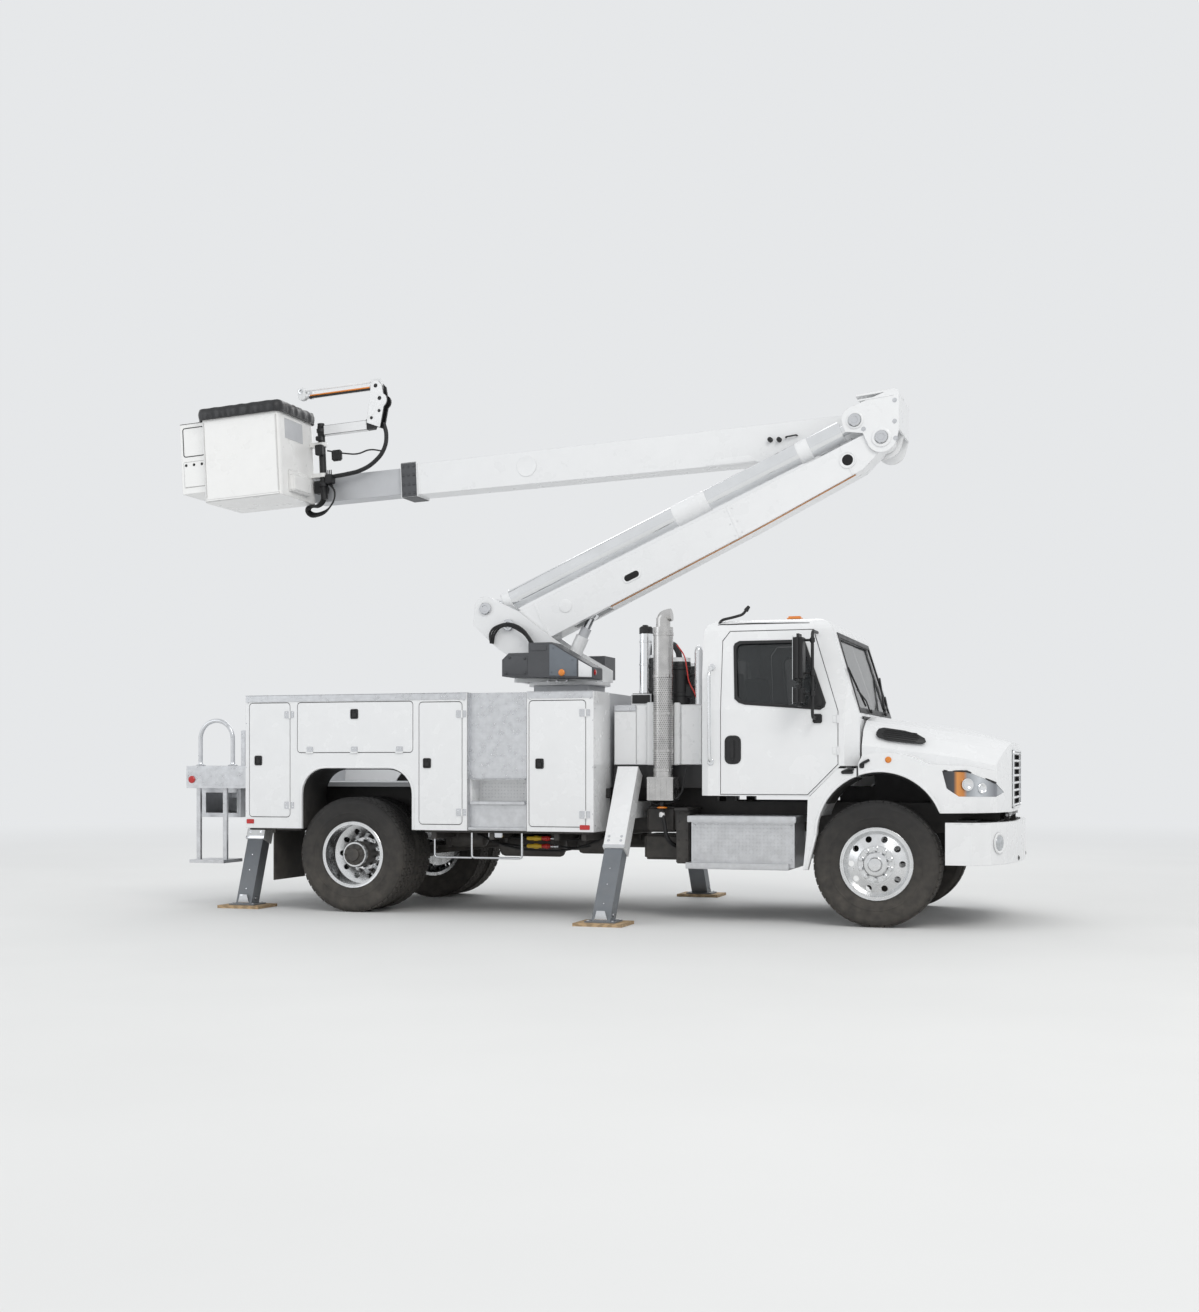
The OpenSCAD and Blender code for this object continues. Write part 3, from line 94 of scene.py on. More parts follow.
class Maker:
    def __init__(self, name):
        self.name = name
        self.bm = bmesh.new()

    def take(self, part, matrix=None):
        mesh = bpy.data.meshes.new("part")
        part.to_mesh(mesh)
        part.free()
        if matrix is not None:
            mesh.transform(matrix)
            if matrix.determinant() < 0:
                mesh.flip_normals()
        self.bm.from_mesh(mesh)
        bpy.data.meshes.remove(mesh)
        return self

    def block(self, low, high, edge=0.004, steps=2, matrix=None):
        low, high = Vector(low), Vector(high)
        part = bmesh.new()
        bmesh.ops.create_cube(part, size=1)
        size = [max(abs(b - a), 1e-4) for a, b in zip(low, high)]
        bmesh.ops.scale(part, vec=size, verts=part.verts)
        bmesh.ops.translate(part, vec=(low + high) / 2, verts=part.verts)
        edge = min(edge, min(size) * 0.45)
        if edge > 0:
            bmesh.ops.bevel(part, geom=part.edges[:], offset=edge, segments=steps, affect="EDGES")
        return self.take(part, matrix)

    def rod(self, start, end, radius, sides=20, end_radius=None, edge=0.0):
        start, end = Vector(start), Vector(end)
        length = (end - start).length
        tip = radius if end_radius is None else end_radius
        edge = min(edge, radius * 0.6, length * 0.4)
        line = [(0, 0), (radius - edge, 0), (radius, edge), (tip, length - edge),
                (tip - edge, length), (0, length)]
        return self.turn([p for i, p in enumerate(line) if edge > 0 or i not in (1, 4)],
                         facing(start, end - start), sides)

    def turn(self, line, matrix, sides=48):
        """Spins a line of (radius, height) about the matrix's Z."""
        part = bmesh.new()
        rings = []
        for radius, height in line:
            if radius < 1e-6:
                rings.append([part.verts.new((0, 0, height))])
            else:
                rings.append([part.verts.new((radius * cos(2 * pi * k / sides),
                                              radius * sin(2 * pi * k / sides), height))
                              for k in range(sides)])
        for a, b in zip(rings, rings[1:]):
            for k in range(sides):
                j = (k + 1) % sides
                if len(a) == 1 and len(b) == 1:
                    continue
                if len(a) == 1:
                    part.faces.new((a[0], b[j], b[k]))
                elif len(b) == 1:
                    part.faces.new((a[k], a[j], b[0]))
                else:
                    part.faces.new((a[k], a[j], b[j], b[k]))
        return self.take(part, matrix)

    def plate(self, outline, depth, matrix, holes=(), edge=0.002):
        """A flat outline with holes, centred on the matrix's XY plane, with eased edges."""
        curve = bpy.data.curves.new("outline", "CURVE")
        curve.dimensions = "2D"
        curve.fill_mode = "BOTH"
        curve.extrude = max(depth / 2 - edge, 0)
        curve.bevel_depth = edge
        curve.bevel_resolution = 1
        curve.offset = -edge
        for ring in (outline, *holes):
            spline = curve.splines.new("POLY")
            spline.points.add(len(ring) - 1)
            for point, (u, v) in zip(spline.points, ring):
                point.co = (u, v, 0, 1)
            spline.use_cyclic_u = True
        holder = bpy.data.objects.new("outline", curve)
        mesh = bpy.data.meshes.new_from_object(holder)
        part = bmesh.new()
        part.from_mesh(mesh)
        bmesh.ops.remove_doubles(part, verts=part.verts, dist=1e-5)
        bpy.data.objects.remove(holder)
        bpy.data.curves.remove(curve)
        bpy.data.meshes.remove(mesh)
        return self.take(part, matrix)

    def pipe(self, points, radius, sides=10, closed=False, steps=6):
        """A round tube through the points, smoothed between them."""
        curve = bpy.data.curves.new("pipe", "CURVE")
        curve.dimensions = "3D"
        curve.bevel_depth = radius
        curve.bevel_resolution = max(sides // 4 - 1, 0)
        curve.use_fill_caps = True
        curve.resolution_u = steps
        spline = curve.splines.new("BEZIER")
        spline.bezier_points.add(len(points) - 1)
        for knot, point in zip(spline.bezier_points, points):
            knot.co = point
            knot.handle_left_type = knot.handle_right_type = "AUTO"
        spline.use_cyclic_u = closed
        holder = bpy.data.objects.new("pipe", curve)
        mesh = bpy.data.meshes.new_from_object(holder)
        part = bmesh.new()
        part.from_mesh(mesh)
        bpy.data.objects.remove(holder)
        bpy.data.curves.remove(curve)
        bpy.data.meshes.remove(mesh)
        return self.take(part)

    def bent(self, points, radius, bend=0.04, sides=12):
        """A rod with straight runs and round bends."""
        points = [Vector(p) for p in points]
        path = [points[0]]
        for before, corner, after in zip(points, points[1:], points[2:]):
            reach = min(bend, (before - corner).length * 0.45, (after - corner).length * 0.45)
            a = corner + (before - corner).normalized() * reach
            b = corner + (after - corner).normalized() * reach
            path += [a.lerp(corner, t).lerp(corner.lerp(b, t), t) for t in (0, 0.25, 0.5, 0.75, 1)]
        path.append(points[-1])
        part = bmesh.new()
        rings = []
        side = None
        for k, point in enumerate(path):
            ahead = (path[min(k + 1, len(path) - 1)] - path[max(k - 1, 0)]).normalized()
            if side is None:
                side = ahead.orthogonal().normalized()
            side = (side - ahead * side.dot(ahead)).normalized()
            other = ahead.cross(side)
            rings.append([part.verts.new(point + radius * (side * cos(2 * pi * j / sides)
                                                           + other * sin(2 * pi * j / sides)))
                          for j in range(sides)])
        for a, b in zip(rings, rings[1:]):
            for j in range(sides):
                i = (j + 1) % sides
                part.faces.new((a[j], a[i], b[i], b[j]))
        part.faces.new(rings[0][::-1])
        part.faces.new(rings[-1])
        return self.take(part)

    def bolts(self, places, direction, radius=0.009, height=0.008, washer=True):
        for place in places:
            seat = facing(place, direction)
            if washer:
                self.turn([(0, 0), (radius * 1.55, 0), (radius * 1.55, height * 0.25),
                           (0, height * 0.25)], seat, 16)
            self.turn([(radius, height * 0.2), (radius, height * 0.85), (radius * 0.85, height),
                       (0, height)], seat, 6)
        return self

    def done(self, finish, body, slot, sides=False, both=False, smooth=35):
        """Turns the collected shapes into one object, or one for each side of the truck."""
        names = [("right", None), ("left", MIRROR)] if sides else [("", None)]
        made = []
        for side, matrix in names:
            mesh = bpy.data.meshes.new(self.name)
            bm = self.bm.copy()
            bm.to_mesh(mesh)
            if both:
                other = mesh.copy()
                other.transform(MIRROR)
                other.flip_normals()
                bm.from_mesh(other)
                bm.to_mesh(mesh)
                bpy.data.meshes.remove(other)
            bm.free()
            if matrix is not None:
                mesh.transform(matrix)
                mesh.flip_normals()
            mesh.polygons.foreach_set("use_smooth", [True] * len(mesh.polygons))
            mesh.set_sharp_from_angle(angle=radians(smooth))
            mesh.materials.append(finish)
            obj = bpy.data.objects.new(f"{self.name}_{side}" if side else self.name, mesh)
            bpy.context.scene.collection.objects.link(obj)
            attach(obj, body.format(side=side))
            made.append(obj)
        self.bm.free()
        print(self.name, len(made[0].data.polygons), "faces")
        return made


def ring(cx, cy, radius, count=24, start=0.0, end=2 * pi, closed=True):
    last = count if closed else count - 1
    return [(cx + radius * cos(start + (end - start) * k / last),
             cy + radius * sin(start + (end - start) * k / last)) for k in range(count)]


def rounded(x0, x1, y0, y1, radius, count=5):
    points = []
    for cx, cy, a in ((x1 - radius, y1 - radius, 0), (x0 + radius, y1 - radius, 90),
                      (x0 + radius, y0 + radius, 180), (x1 - radius, y0 + radius, 270)):
        points += ring(cx, cy, radius, count, radians(a), radians(a + 90), closed=False)
    return points


# turns an outline drawn flat so that it stands up and faces the truck's right
OUT = Matrix(((1, 0, 0), (0, 0, -1), (0, 1, 0))).to_4x4()


def side_face(y):
    """Outlines drawn as (along the truck, up) on an upright plane at y."""
    return Matrix.Translation((AXLE_X, y, 0)) @ OUT


print("workshop ready")

# %% [markdown]
# ## Finishes
# Paint, metal, rubber and plastic differ in colour, gloss and small relief. An image could carry
# that, but it needs unwrapping and stretches over corners. Noise worked out from the place in space
# needs neither, so each finish here is a small node group: two shades mixed by noise,
# a changing roughness, a fine bump, and road dust that thins out with height.

# %% A finish made of nodes
def finish(name, colour, rough=0.4, metal=0.0, coat=0.0, shade=0.12, grain=6.0, grit=90.0,
           relief=0.08, depth=0.002, dust=0.0, dust_top=1.3, sheen=0.0, edge=0.0, specular=0.5):
    mat = bpy.data.materials.new(name)
    mat.use_nodes = True
    tree = mat.node_tree
    shader = tree.nodes["Principled BSDF"]
    shader.inputs["Metallic"].default_value = metal
    shader.inputs["Coat Weight"].default_value = coat
    shader.inputs["Coat Roughness"].default_value = 0.06
    shader.inputs["Sheen Weight"].default_value = sheen
    shader.inputs["Specular IOR Level"].default_value = specular
    place = tree.nodes.new("ShaderNodeTexCoord")
    noise = tree.nodes.new("ShaderNodeTexNoise")
    noise.inputs["Scale"].default_value = grain
    noise.inputs["Detail"].default_value = 6
    tree.links.new(place.outputs["Object"], noise.inputs["Vector"])
    ramp = tree.nodes.new("ShaderNodeValToRGB")
    dark = [c * (1 - shade) for c in colour]
    ramp.color_ramp.elements[0].position = 0.3
    ramp.color_ramp.elements[0].color = (*dark, 1)
    ramp.color_ramp.elements[1].position = 0.7
    ramp.color_ramp.elements[1].color = (*colour, 1)
    tree.links.new(noise.outputs["Fac"], ramp.inputs["Fac"])
    top = ramp.outputs["Color"]
    gloss = tree.nodes.new("ShaderNodeMapRange")
    gloss.inputs["From Min"].default_value = 0.25
    gloss.inputs["From Max"].default_value = 0.75
    gloss.inputs["To Min"].default_value = max(rough - 0.07, 0.02)
    gloss.inputs["To Max"].default_value = min(rough + 0.08, 1)
    tree.links.new(noise.outputs["Fac"], gloss.inputs["Value"])
    roughness = gloss.outputs["Result"]
    if dust > 0:
        split = tree.nodes.new("ShaderNodeSeparateXYZ")
        tree.links.new(place.outputs["Object"], split.inputs[0])
        height = tree.nodes.new("ShaderNodeMapRange")
        height.inputs["From Min"].default_value = 0.25
        height.inputs["From Max"].default_value = dust_top
        height.inputs["To Min"].default_value = dust
        height.inputs["To Max"].default_value = 0.0
        tree.links.new(split.outputs["Z"], height.inputs["Value"])
        patch = tree.nodes.new("ShaderNodeTexNoise")
        patch.inputs["Scale"].default_value = grain * 2.3
        patch.inputs["Detail"].default_value = 9
        tree.links.new(place.outputs["Object"], patch.inputs["Vector"])
        amount = tree.nodes.new("ShaderNodeMath")
        amount.operation = "MULTIPLY"
        tree.links.new(height.outputs["Result"], amount.inputs[0])
        tree.links.new(patch.outputs["Fac"], amount.inputs[1])
        mix = tree.nodes.new("ShaderNodeMix")
        mix.data_type = "RGBA"
        tree.links.new(amount.outputs[0], mix.inputs[0])
        tree.links.new(top, mix.inputs[6])
        mix.inputs[7].default_value = (0.36, 0.32, 0.27, 1)
        top = mix.outputs[2]
        dull = tree.nodes.new("ShaderNodeMath")
        dull.operation = "ADD"
        dull.use_clamp = True
        tree.links.new(roughness, dull.inputs[0])
        tree.links.new(amount.outputs[0], dull.inputs[1])
        roughness = dull.outputs[0]
    tree.links.new(top, shader.inputs["Base Color"])
    tree.links.new(roughness, shader.inputs["Roughness"])
    fine = tree.nodes.new("ShaderNodeTexNoise")
    fine.inputs["Scale"].default_value = grit
    fine.inputs["Detail"].default_value = 3
    tree.links.new(place.outputs["Object"], fine.inputs["Vector"])
    bump = tree.nodes.new("ShaderNodeBump")
    bump.inputs["Strength"].default_value = relief
    bump.inputs["Distance"].default_value = depth
    tree.links.new(fine.outputs["Fac"], bump.inputs["Height"])
    if edge > 0:
        eased = tree.nodes.new("ShaderNodeBevel")
        eased.samples = 4
        eased.inputs["Radius"].default_value = edge
        tree.links.new(eased.outputs["Normal"], bump.inputs["Normal"])
    tree.links.new(bump.outputs["Normal"], shader.inputs["Normal"])
    return mat


white = finish("white_enamel", (0.86, 0.865, 0.87), 0.24, coat=0.35, shade=0.03, relief=0.03,
               grit=220, dust=0.10, dust_top=1.4, edge=0.006)
white_high = finish("white_enamel_boom", (0.85, 0.855, 0.86), 0.3, coat=0.25, shade=0.02,
                    relief=0.04, grit=160, edge=0.006)
black = finish("black_enamel", (0.016, 0.016, 0.018), 0.42, shade=0.35, relief=0.12, dust=0.35,
               edge=0.004)
grey = finish("grey_enamel", (0.17, 0.19, 0.215), 0.4, shade=0.15, relief=0.1, dust=0.2, edge=0.004)
pale_grey = finish("pale_grey_enamel", (0.55, 0.56, 0.58), 0.38, shade=0.08, relief=0.06,
                   edge=0.005)
charcoal = finish("charcoal_plastic", (0.085, 0.088, 0.095), 0.5, shade=0.2, relief=0.25, grit=500,
                  edge=0.008)
cast = finish("cast_metal", (0.06, 0.06, 0.064), 0.62, metal=0.5, shade=0.3, relief=0.5, grit=160,
              dust=0.4)
polished = finish("polished_aluminium", (0.84, 0.85, 0.86), 0.17, metal=1, shade=0.12, grain=14,
                  relief=0.04, dust=0.18)
treaded = finish("tread_plate", (0.72, 0.73, 0.75), 0.3, metal=0.9, shade=0.16, grain=18,
                 relief=0.1, dust=0.2, edge=0.004)
chrome = finish("bright_tube", (0.86, 0.87, 0.88), 0.12, metal=1, shade=0.06, relief=0.02)
stack_steel = finish("stack_steel", (0.62, 0.61, 0.6), 0.25, metal=1, shade=0.2, grain=9,
                     relief=0.08)
rod_steel = finish("rod_steel", (0.72, 0.73, 0.75), 0.16, metal=1, shade=0.08, relief=0.03)
rubber = finish("tyre_rubber", (0.028, 0.028, 0.029), 0.78, shade=0.3, relief=0.3, grit=260,
                dust=0.28, dust_top=1.1, specular=0.3)
plastic = finish("black_plastic", (0.014, 0.014, 0.015), 0.45, shade=0.3, relief=0.2, grit=420,
                 edge=0.004)
hose_black = finish("hose_black", (0.012, 0.012, 0.013), 0.5, shade=0.3, relief=0.4, grit=700)
seat_cloth = finish("seat_cloth", (0.05, 0.052, 0.058), 0.85, shade=0.25, relief=0.6, grit=900,
                    sheen=0.3)
gel_coat = finish("bucket_gel_coat", (0.88, 0.875, 0.86), 0.3, coat=0.3, shade=0.04, relief=0.05,
                  grit=60, edge=0.01)
vinyl = finish("cover_vinyl", (0.014, 0.014, 0.016), 0.36, shade=0.25, relief=0.4, grit=450,
               depth=0.001, sheen=0.15)
board = finish("board_wood", (0.52, 0.36, 0.2), 0.7, shade=0.35, grain=11, relief=0.4, dust=0.15)
# black finish for the liners and seals; the same black is also painted shade inside the stack shield's
# holes and the lower boom's port
liner_and_hole_shade = finish("black_liner_and_hole_shade", (0.01, 0.01, 0.011), 0.8, shade=0.3, relief=0.5, grit=120, dust=0.3)
red_lens = finish("red_lens", (0.55, 0.012, 0.012), 0.15, coat=0.6, shade=0.2, relief=0.25,
                  grit=260)
amber_lens = finish("amber_lens", (0.85, 0.26, 0.02), 0.15, coat=0.6, shade=0.2, relief=0.25,
                    grit=260)
clear_lens = finish("clear_lens", (0.62, 0.64, 0.66), 0.08, metal=0.6, coat=0.8, shade=0.4,
                    grain=30, relief=0.3, grit=60)
red_cap = finish("red_cap", (0.6, 0.03, 0.02), 0.35, coat=0.3, shade=0.15)
yellow_cap = finish("yellow_cap", (0.85, 0.55, 0.04), 0.4, coat=0.2, shade=0.15)
rust_line = finish("orange_hose", (0.55, 0.25, 0.09), 0.5, shade=0.3)
print("finishes:", len(bpy.data.materials))

# %% [markdown]
# Tinted glass is nearly black from outside, yet bright things behind it still show. A pure
# transparent shader would lose its gloss, so the glass is a thin smoked pane: part mirror,
# part see-through, with a faint unevenness so that reflections bend a little.

# %% Window glass
def pane(name, tint, clear):
    mat = finish(name, tint, 0.04, shade=0.2, coat=0.5, relief=0.015, grit=3)
    shader = mat.node_tree.nodes["Principled BSDF"]
    shader.inputs["Alpha"].default_value = clear
    return mat


glass = pane("window_glass", (0.02, 0.024, 0.026), 0.62)
print("glass ready")

# %% [markdown]
# The wooden boards under the outriggers show long grain. Wave bands stretched along the board, and
# bent by noise, read as growth rings at a glance.

# %% Wood grain
tree = board.node_tree
bands = tree.nodes.new("ShaderNodeTexWave")
bands.inputs["Scale"].default_value = 9
bands.inputs["Distortion"].default_value = 7
bands.inputs["Detail"].default_value = 3
stretch = tree.nodes.new("ShaderNodeMapping")
stretch.inputs["Scale"].default_value = (0.35, 3.0, 6.0)
tree.links.new(tree.nodes["Texture Coordinate"].outputs["Object"], stretch.inputs["Vector"])
tree.links.new(stretch.outputs["Vector"], bands.inputs["Vector"])
tree.links.new(bands.outputs["Fac"], tree.nodes["Color Ramp"].inputs["Fac"])
print("wood grain ready")

# %% [markdown]
# Every CAD part keeps its shape and only gets a finish. A table of names is easier to check than
# sixty separate lines; parts on two sides of the truck share one entry.

# %% Finish the CAD parts
looks = {
    "chassis_frame": black, "engine_block": cast, "front_axle": black, "rear_axle": black,
    "front_knuckle": cast, "front_rim": polished, "rear_rims": polished, "front_tyre": rubber,
    "rear_tyres": rubber, "cab_shell": white, "cab_glass": glass, "cab_door": white,
    "cab_interior": seat_cloth, "mirrors": plastic, "hood": white, "grille": plastic,
    "headlights": clear_lens, "bumper": white, "step_box": treaded, "fuel_tank": treaded,
    "exhaust_stack": stack_steel, "oil_tank": white_high, "side_pack": white,
    "cargo_deck": pale_grey,
    "rear_door": white, "drop_door": white, "middle_door": white, "front_door": white,
    "tail_shelf": treaded, "outrigger_sleeves": white, "front_leg": grey, "rear_leg": grey,
    "turret": white_high, "turret_cover": charcoal, "lift_barrel": white_high,
    "lift_stage": pale_grey, "lift_rod": rod_steel, "lower_boom": white_high,
    "levelling_link": chrome, "elbow": white_high, "upper_boom": white_high,
    "inner_boom": pale_grey, "bucket_bracket": plastic, "bucket": gel_coat,
    "bucket_cover": vinyl, "jib_arm": white_high}
for name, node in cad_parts.items():
    plain = name.removesuffix("_right").removesuffix("_left")
    node.data.materials.clear()
    node.data.materials.append(looks[plain])
print("finished CAD nodes:", len(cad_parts))

# %% [markdown]
# A door and its window are one CAD node, and so are an outrigger leg and the board under it. Each
# loose part of such a node can still take its own finish: walking from face to face over shared
# corners finds the parts, and a part's height or place says which it is.

# %% Finish the loose parts inside one node
def loose_parts(mesh):
    """Sets of face numbers that hang together, by the places of their corners."""
    key = [tuple(round(c, 5) for c in v.co) for v in mesh.vertices]
    parent = {}

    def root(a):
        while parent.setdefault(a, a) != a:
            parent[a] = parent[parent[a]]
            a = parent[a]
        return a

    for face in mesh.polygons:
        first = root(key[face.vertices[0]])
        for v in face.vertices[1:]:
            parent[root(key[v])] = first
    parts = {}
    for face in mesh.polygons:
        parts.setdefault(root(key[face.vertices[0]]), []).append(face.index)
    return list(parts.values())


def part_box(mesh, faces):
    points = [mesh.vertices[v].co for f in faces for v in mesh.polygons[f].vertices]
    return [min(p[i] for p in points) for i in range(3)], [max(p[i] for p in points) for i in range(3)]


def finish_part(node, second, chosen):
    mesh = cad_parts[node].data
    mesh.materials.append(second)
    for faces in loose_parts(mesh):
        low, high = part_box(mesh, faces)
        if chosen(low, high):
            for f in faces:
                mesh.polygons[f].material_index = 1


for side in ("right", "left"):
    finish_part(f"cab_door_{side}", glass,
                lambda low, high: low[2] > 1.7 and high[1] - low[1] < 0.3)
    for leg in ("front", "rear"):
        finish_part(f"{leg}_leg_{side}", board, lambda low, high: high[2] < 0.04)
finish_part("cab_interior", plastic, lambda low, high: low[0] > AXLE_X + 3.87)
print("loose parts finished")

# %% [markdown]
# ## Tyres
# A truck tyre has a flat tread of ribs cut into blocks, square shoulders and a stepped sidewall.
# A bump texture would leave its outline round, and tread shows at the outline. So the carcass
# is one line spun about the axle, and the blocks are short curved bricks laid round it in five rows.

# %% Tyres
TYRE_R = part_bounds("front_tyre_right")[1].z / 2
RIM_R = 0.2855
HALF = 0.104
FRONT_Y, REAR_Y, TWIN = 1.0325, 1.0525, 0.335


def tyre(maker, y_mid, axle_x, blocks=52):
    wall = [(RIM_R, 0.098), (RIM_R + 0.016, 0.104), (RIM_R + 0.034, 0.119), (RIM_R + 0.06, 0.1305),
            (RIM_R + 0.084, 0.1345), (RIM_R + 0.086, 0.1368), (RIM_R + 0.096, 0.1368),
            (RIM_R + 0.098, 0.1348), (RIM_R + 0.135, 0.1365), (RIM_R + 0.165, 0.1335),
            (RIM_R + 0.17, 0.1345), (RIM_R + 0.178, 0.1335), (0.478, 0.127), (0.494, 0.1155),
            (0.5015, HALF), (0.5015, 0.03)]
    line = [(r, -h) for r, h in wall] + [(r, h) for r, h in reversed(wall)]
    seat = facing(at(axle_x, y_mid, TYRE_R), (0, 1, 0))
    maker.turn(line, seat, 96)
    for row, middle in enumerate((-0.083, -0.042, 0.0, 0.042, 0.083)):
        turn_by = (row % 2) * pi / blocks
        half = 0.0175 if abs(middle) < 0.08 else 0.021
        part = bmesh.new()
        for k in range(blocks):
            start = 2 * pi * k / blocks + turn_by
            end = start + 2 * pi / blocks * 0.86
            rings = []
            for a in (start, (start + end) / 2, end):
                skew = 0.004 * (1 if row % 2 else -1) * (1 if a == start else -1)
                rings.append([part.verts.new((r * cos(a), r * sin(a), middle + h + skew))
                              for r, h in ((0.500, -half), (TYRE_R, -half + 0.002),
                                           (TYRE_R, half - 0.002), (0.500, half))])
            for a, b in zip(rings, rings[1:]):
                for j in range(3):
                    part.faces.new((a[j], b[j], b[j + 1], a[j + 1]))
            part.faces.new(rings[0])
            part.faces.new(rings[-1][::-1])
        maker.take(part, seat)


for side, sign in (("right", RIGHT), ("left", LEFT)):
    tread = Maker(f"front_tread_{side}")
    tyre(tread, sign * FRONT_Y, 4.68)
    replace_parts(tread.done(rubber, f"front_wheel_{side}", "tyre_rubber")[0], f"front_tyre_{side}")
    tread = Maker(f"rear_treads_{side}")
    tyre(tread, sign * REAR_Y, 0)
    tyre(tread, sign * (REAR_Y - TWIN), 0)
    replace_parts(tread.done(rubber, f"rear_wheels_{side}", "tyre_rubber")[0], f"rear_tyres_{side}")

# %% [markdown]
# The CAD wheels already have their dishes and ten hand holes. What catches the eye is what is
# bolted on: bright nut covers in a ring, the hub cap, and on the rear a black axle hub.

# %% Wheel nuts and hubs
def nut_ring(maker, x, y, radius, count, size, height):
    for k in range(count):
        a = 2 * pi * (k + 0.5) / count
        place = at(x, y, TYRE_R) + Vector((radius * cos(a), 0, radius * sin(a)))
        seat = facing(place, (0, -1, 0))
        maker.turn([(0, 0), (size * 1.35, 0), (size * 1.35, 0.006), (size, 0.009),
                    (size * 0.96, height * 0.75), (size * 0.8, height * 0.93), (0, height)], seat,
                    12)


def rings_at(maker, x, y, lines, sides=64):
    for line in lines:
        maker.turn(line, facing(at(x, y, TYRE_R), (0, -1, 0)), sides)


bright = Maker("front_hub")
nut_ring(bright, 4.68, -1.148, 0.124, 10, 0.0165, 0.046)
rings_at(bright, 4.68, -1.148, [
    [(0.104, 0), (0.104, 0.02), (0.098, 0.03), (0.097, 0.05), (0.09, 0.057), (0.062, 0.06),
     (0.058, 0.075), (0.05, 0.084), (0.02, 0.088), (0, 0.088)],
    [(0.156, -0.002), (0.156, 0.003), (0.149, 0.004), (0.147, 0)]])
rings_at(bright, 4.68, -1.1405, [[(0.284, -0.02), (0.2985, -0.008), (0.3, 0.001), (0.296, 0.004),
                                  (0.286, 0.002), (0.276, -0.012), (0.27, -0.04)]])
bright.done(polished, "front_wheel_{side}", "aluminium_wheel", sides=True)

nuts = Maker("rear_nuts")
nut_ring(nuts, 0, -0.899, 0.131, 10, 0.0165, 0.05)
rings_at(nuts, 0, -1.1605, [[(0.284, -0.02), (0.2985, -0.008), (0.3, 0.001), (0.296, 0.004),
                            (0.286, 0.002), (0.276, -0.012), (0.27, -0.04)]])
nuts.done(polished, "rear_wheels_{side}", "aluminium_wheel", sides=True)

hub = Maker("rear_hub")
rings_at(hub, 0, -0.899, [[(0.1115, 0), (0.1125, 0.01), (0.1125, 0.13), (0.118, 0.14),
                          (0.118, 0.165), (0.108, 0.18), (0.1, 0.205), (0.094, 0.238),
                          (0.07, 0.243), (0.06, 0.245), (0.056, 0.262), (0, 0.264)]])
for k in range(8):
    a = 2 * pi * k / 8
    hub.bolts([at(0.08 * cos(a), -1.139, TYRE_R + 0.08 * sin(a))], (0, -1, 0), 0.009, 0.016)
hub.done(black, "rear_wheels_{side}", "black_paint", sides=True)

# %% [markdown]
# ## Tread plate
# Checkered aluminium plate carries short raised bars, each row turned a quarter from the next.
# A bump pattern looks painted on at a low angle, where this plate is mostly seen, so
# the bars are real: small four-sided lozenges laid out on a grid and joined into one mesh.

# %% Tread bars
def tread(maker, corner, along, up, pitch=0.034, height=0.0022, thick=0.0068, length=0.026):
    """Lozenges on the plate that starts at corner and spans the vectors along and up."""
    corner, along, up = Vector(corner), Vector(along), Vector(up)
    u, v = along.normalized(), up.normalized()
    out = u.cross(v)
    columns, rows = int(along.length / pitch), int(up.length / pitch)
    ease_u = (along.length - (columns - 1) * pitch) / 2
    ease_v = (up.length - (rows - 1) * pitch) / 2
    part = bmesh.new()
    for i in range(columns):
        for j in range(rows):
            middle = corner + u * (ease_u + i * pitch) + v * (ease_v + j * pitch)
            lean = 1 if (i + j) % 2 else -1
            long = (u + v * lean) * (length / 2 / math.sqrt(2))
            wide = (u * -lean + v) * (thick / 2 / math.sqrt(2))
            base = [part.verts.new(middle + p) for p in (long, wide, -long, -wide)]
            top = [part.verts.new(middle + p * 0.55 + out * height) for p in (long, -long)]
            part.faces.new((base[0], base[1], top[0]))
            part.faces.new((base[1], base[2], top[1], top[0]))
            part.faces.new((base[2], base[3], top[1]))
            part.faces.new((base[3], base[0], top[0], top[1]))
    if columns and rows:
        bmesh.ops.recalc_face_normals(part, faces=part.faces)
        maker.take(part)
    else:
        part.free()


FACE_Y = -1.2
rails = Maker("body_tread_rails")
for x0, x1 in ((-1.063, 1.125), (1.682, 2.289)):
    rails.block(at(x0 + 0.001, FACE_Y - 0.004, 1.886), at(x1 - 0.001, FACE_Y + 0.03, 1.953), 0.006)
    rails.block(at(x0 + 0.001, FACE_Y - 0.004, 1.948), at(x1 - 0.001, -0.742, 1.953), 0.002)
    tread(rails, at(x0 + 0.01, FACE_Y - 0.0038, 1.9), (x1 - x0 - 0.02, 0, 0), (0, 0, 0.042), 0.03)
    tread(rails, at(x0 + 0.01, FACE_Y + 0.01, 1.9528), (x1 - x0 - 0.02, 0, 0), (0, 0.43, 0), 0.036)
    for x in (x0 + 0.03, x1 - 0.03):
        rails.bolts([at(x, FACE_Y - 0.004, 1.892)], (0, -1, 0), 0.006, 0.004)
rails.done(treaded, "chassis", "tread_plate", both=True)

# %% [markdown]
# The way up to the deck is a recess lined with the same plate: an upper wall, a foot pocket with a
# rolled lip, and a ledge below it. Lining the CAD recess keeps its size, and the bars make it shine.

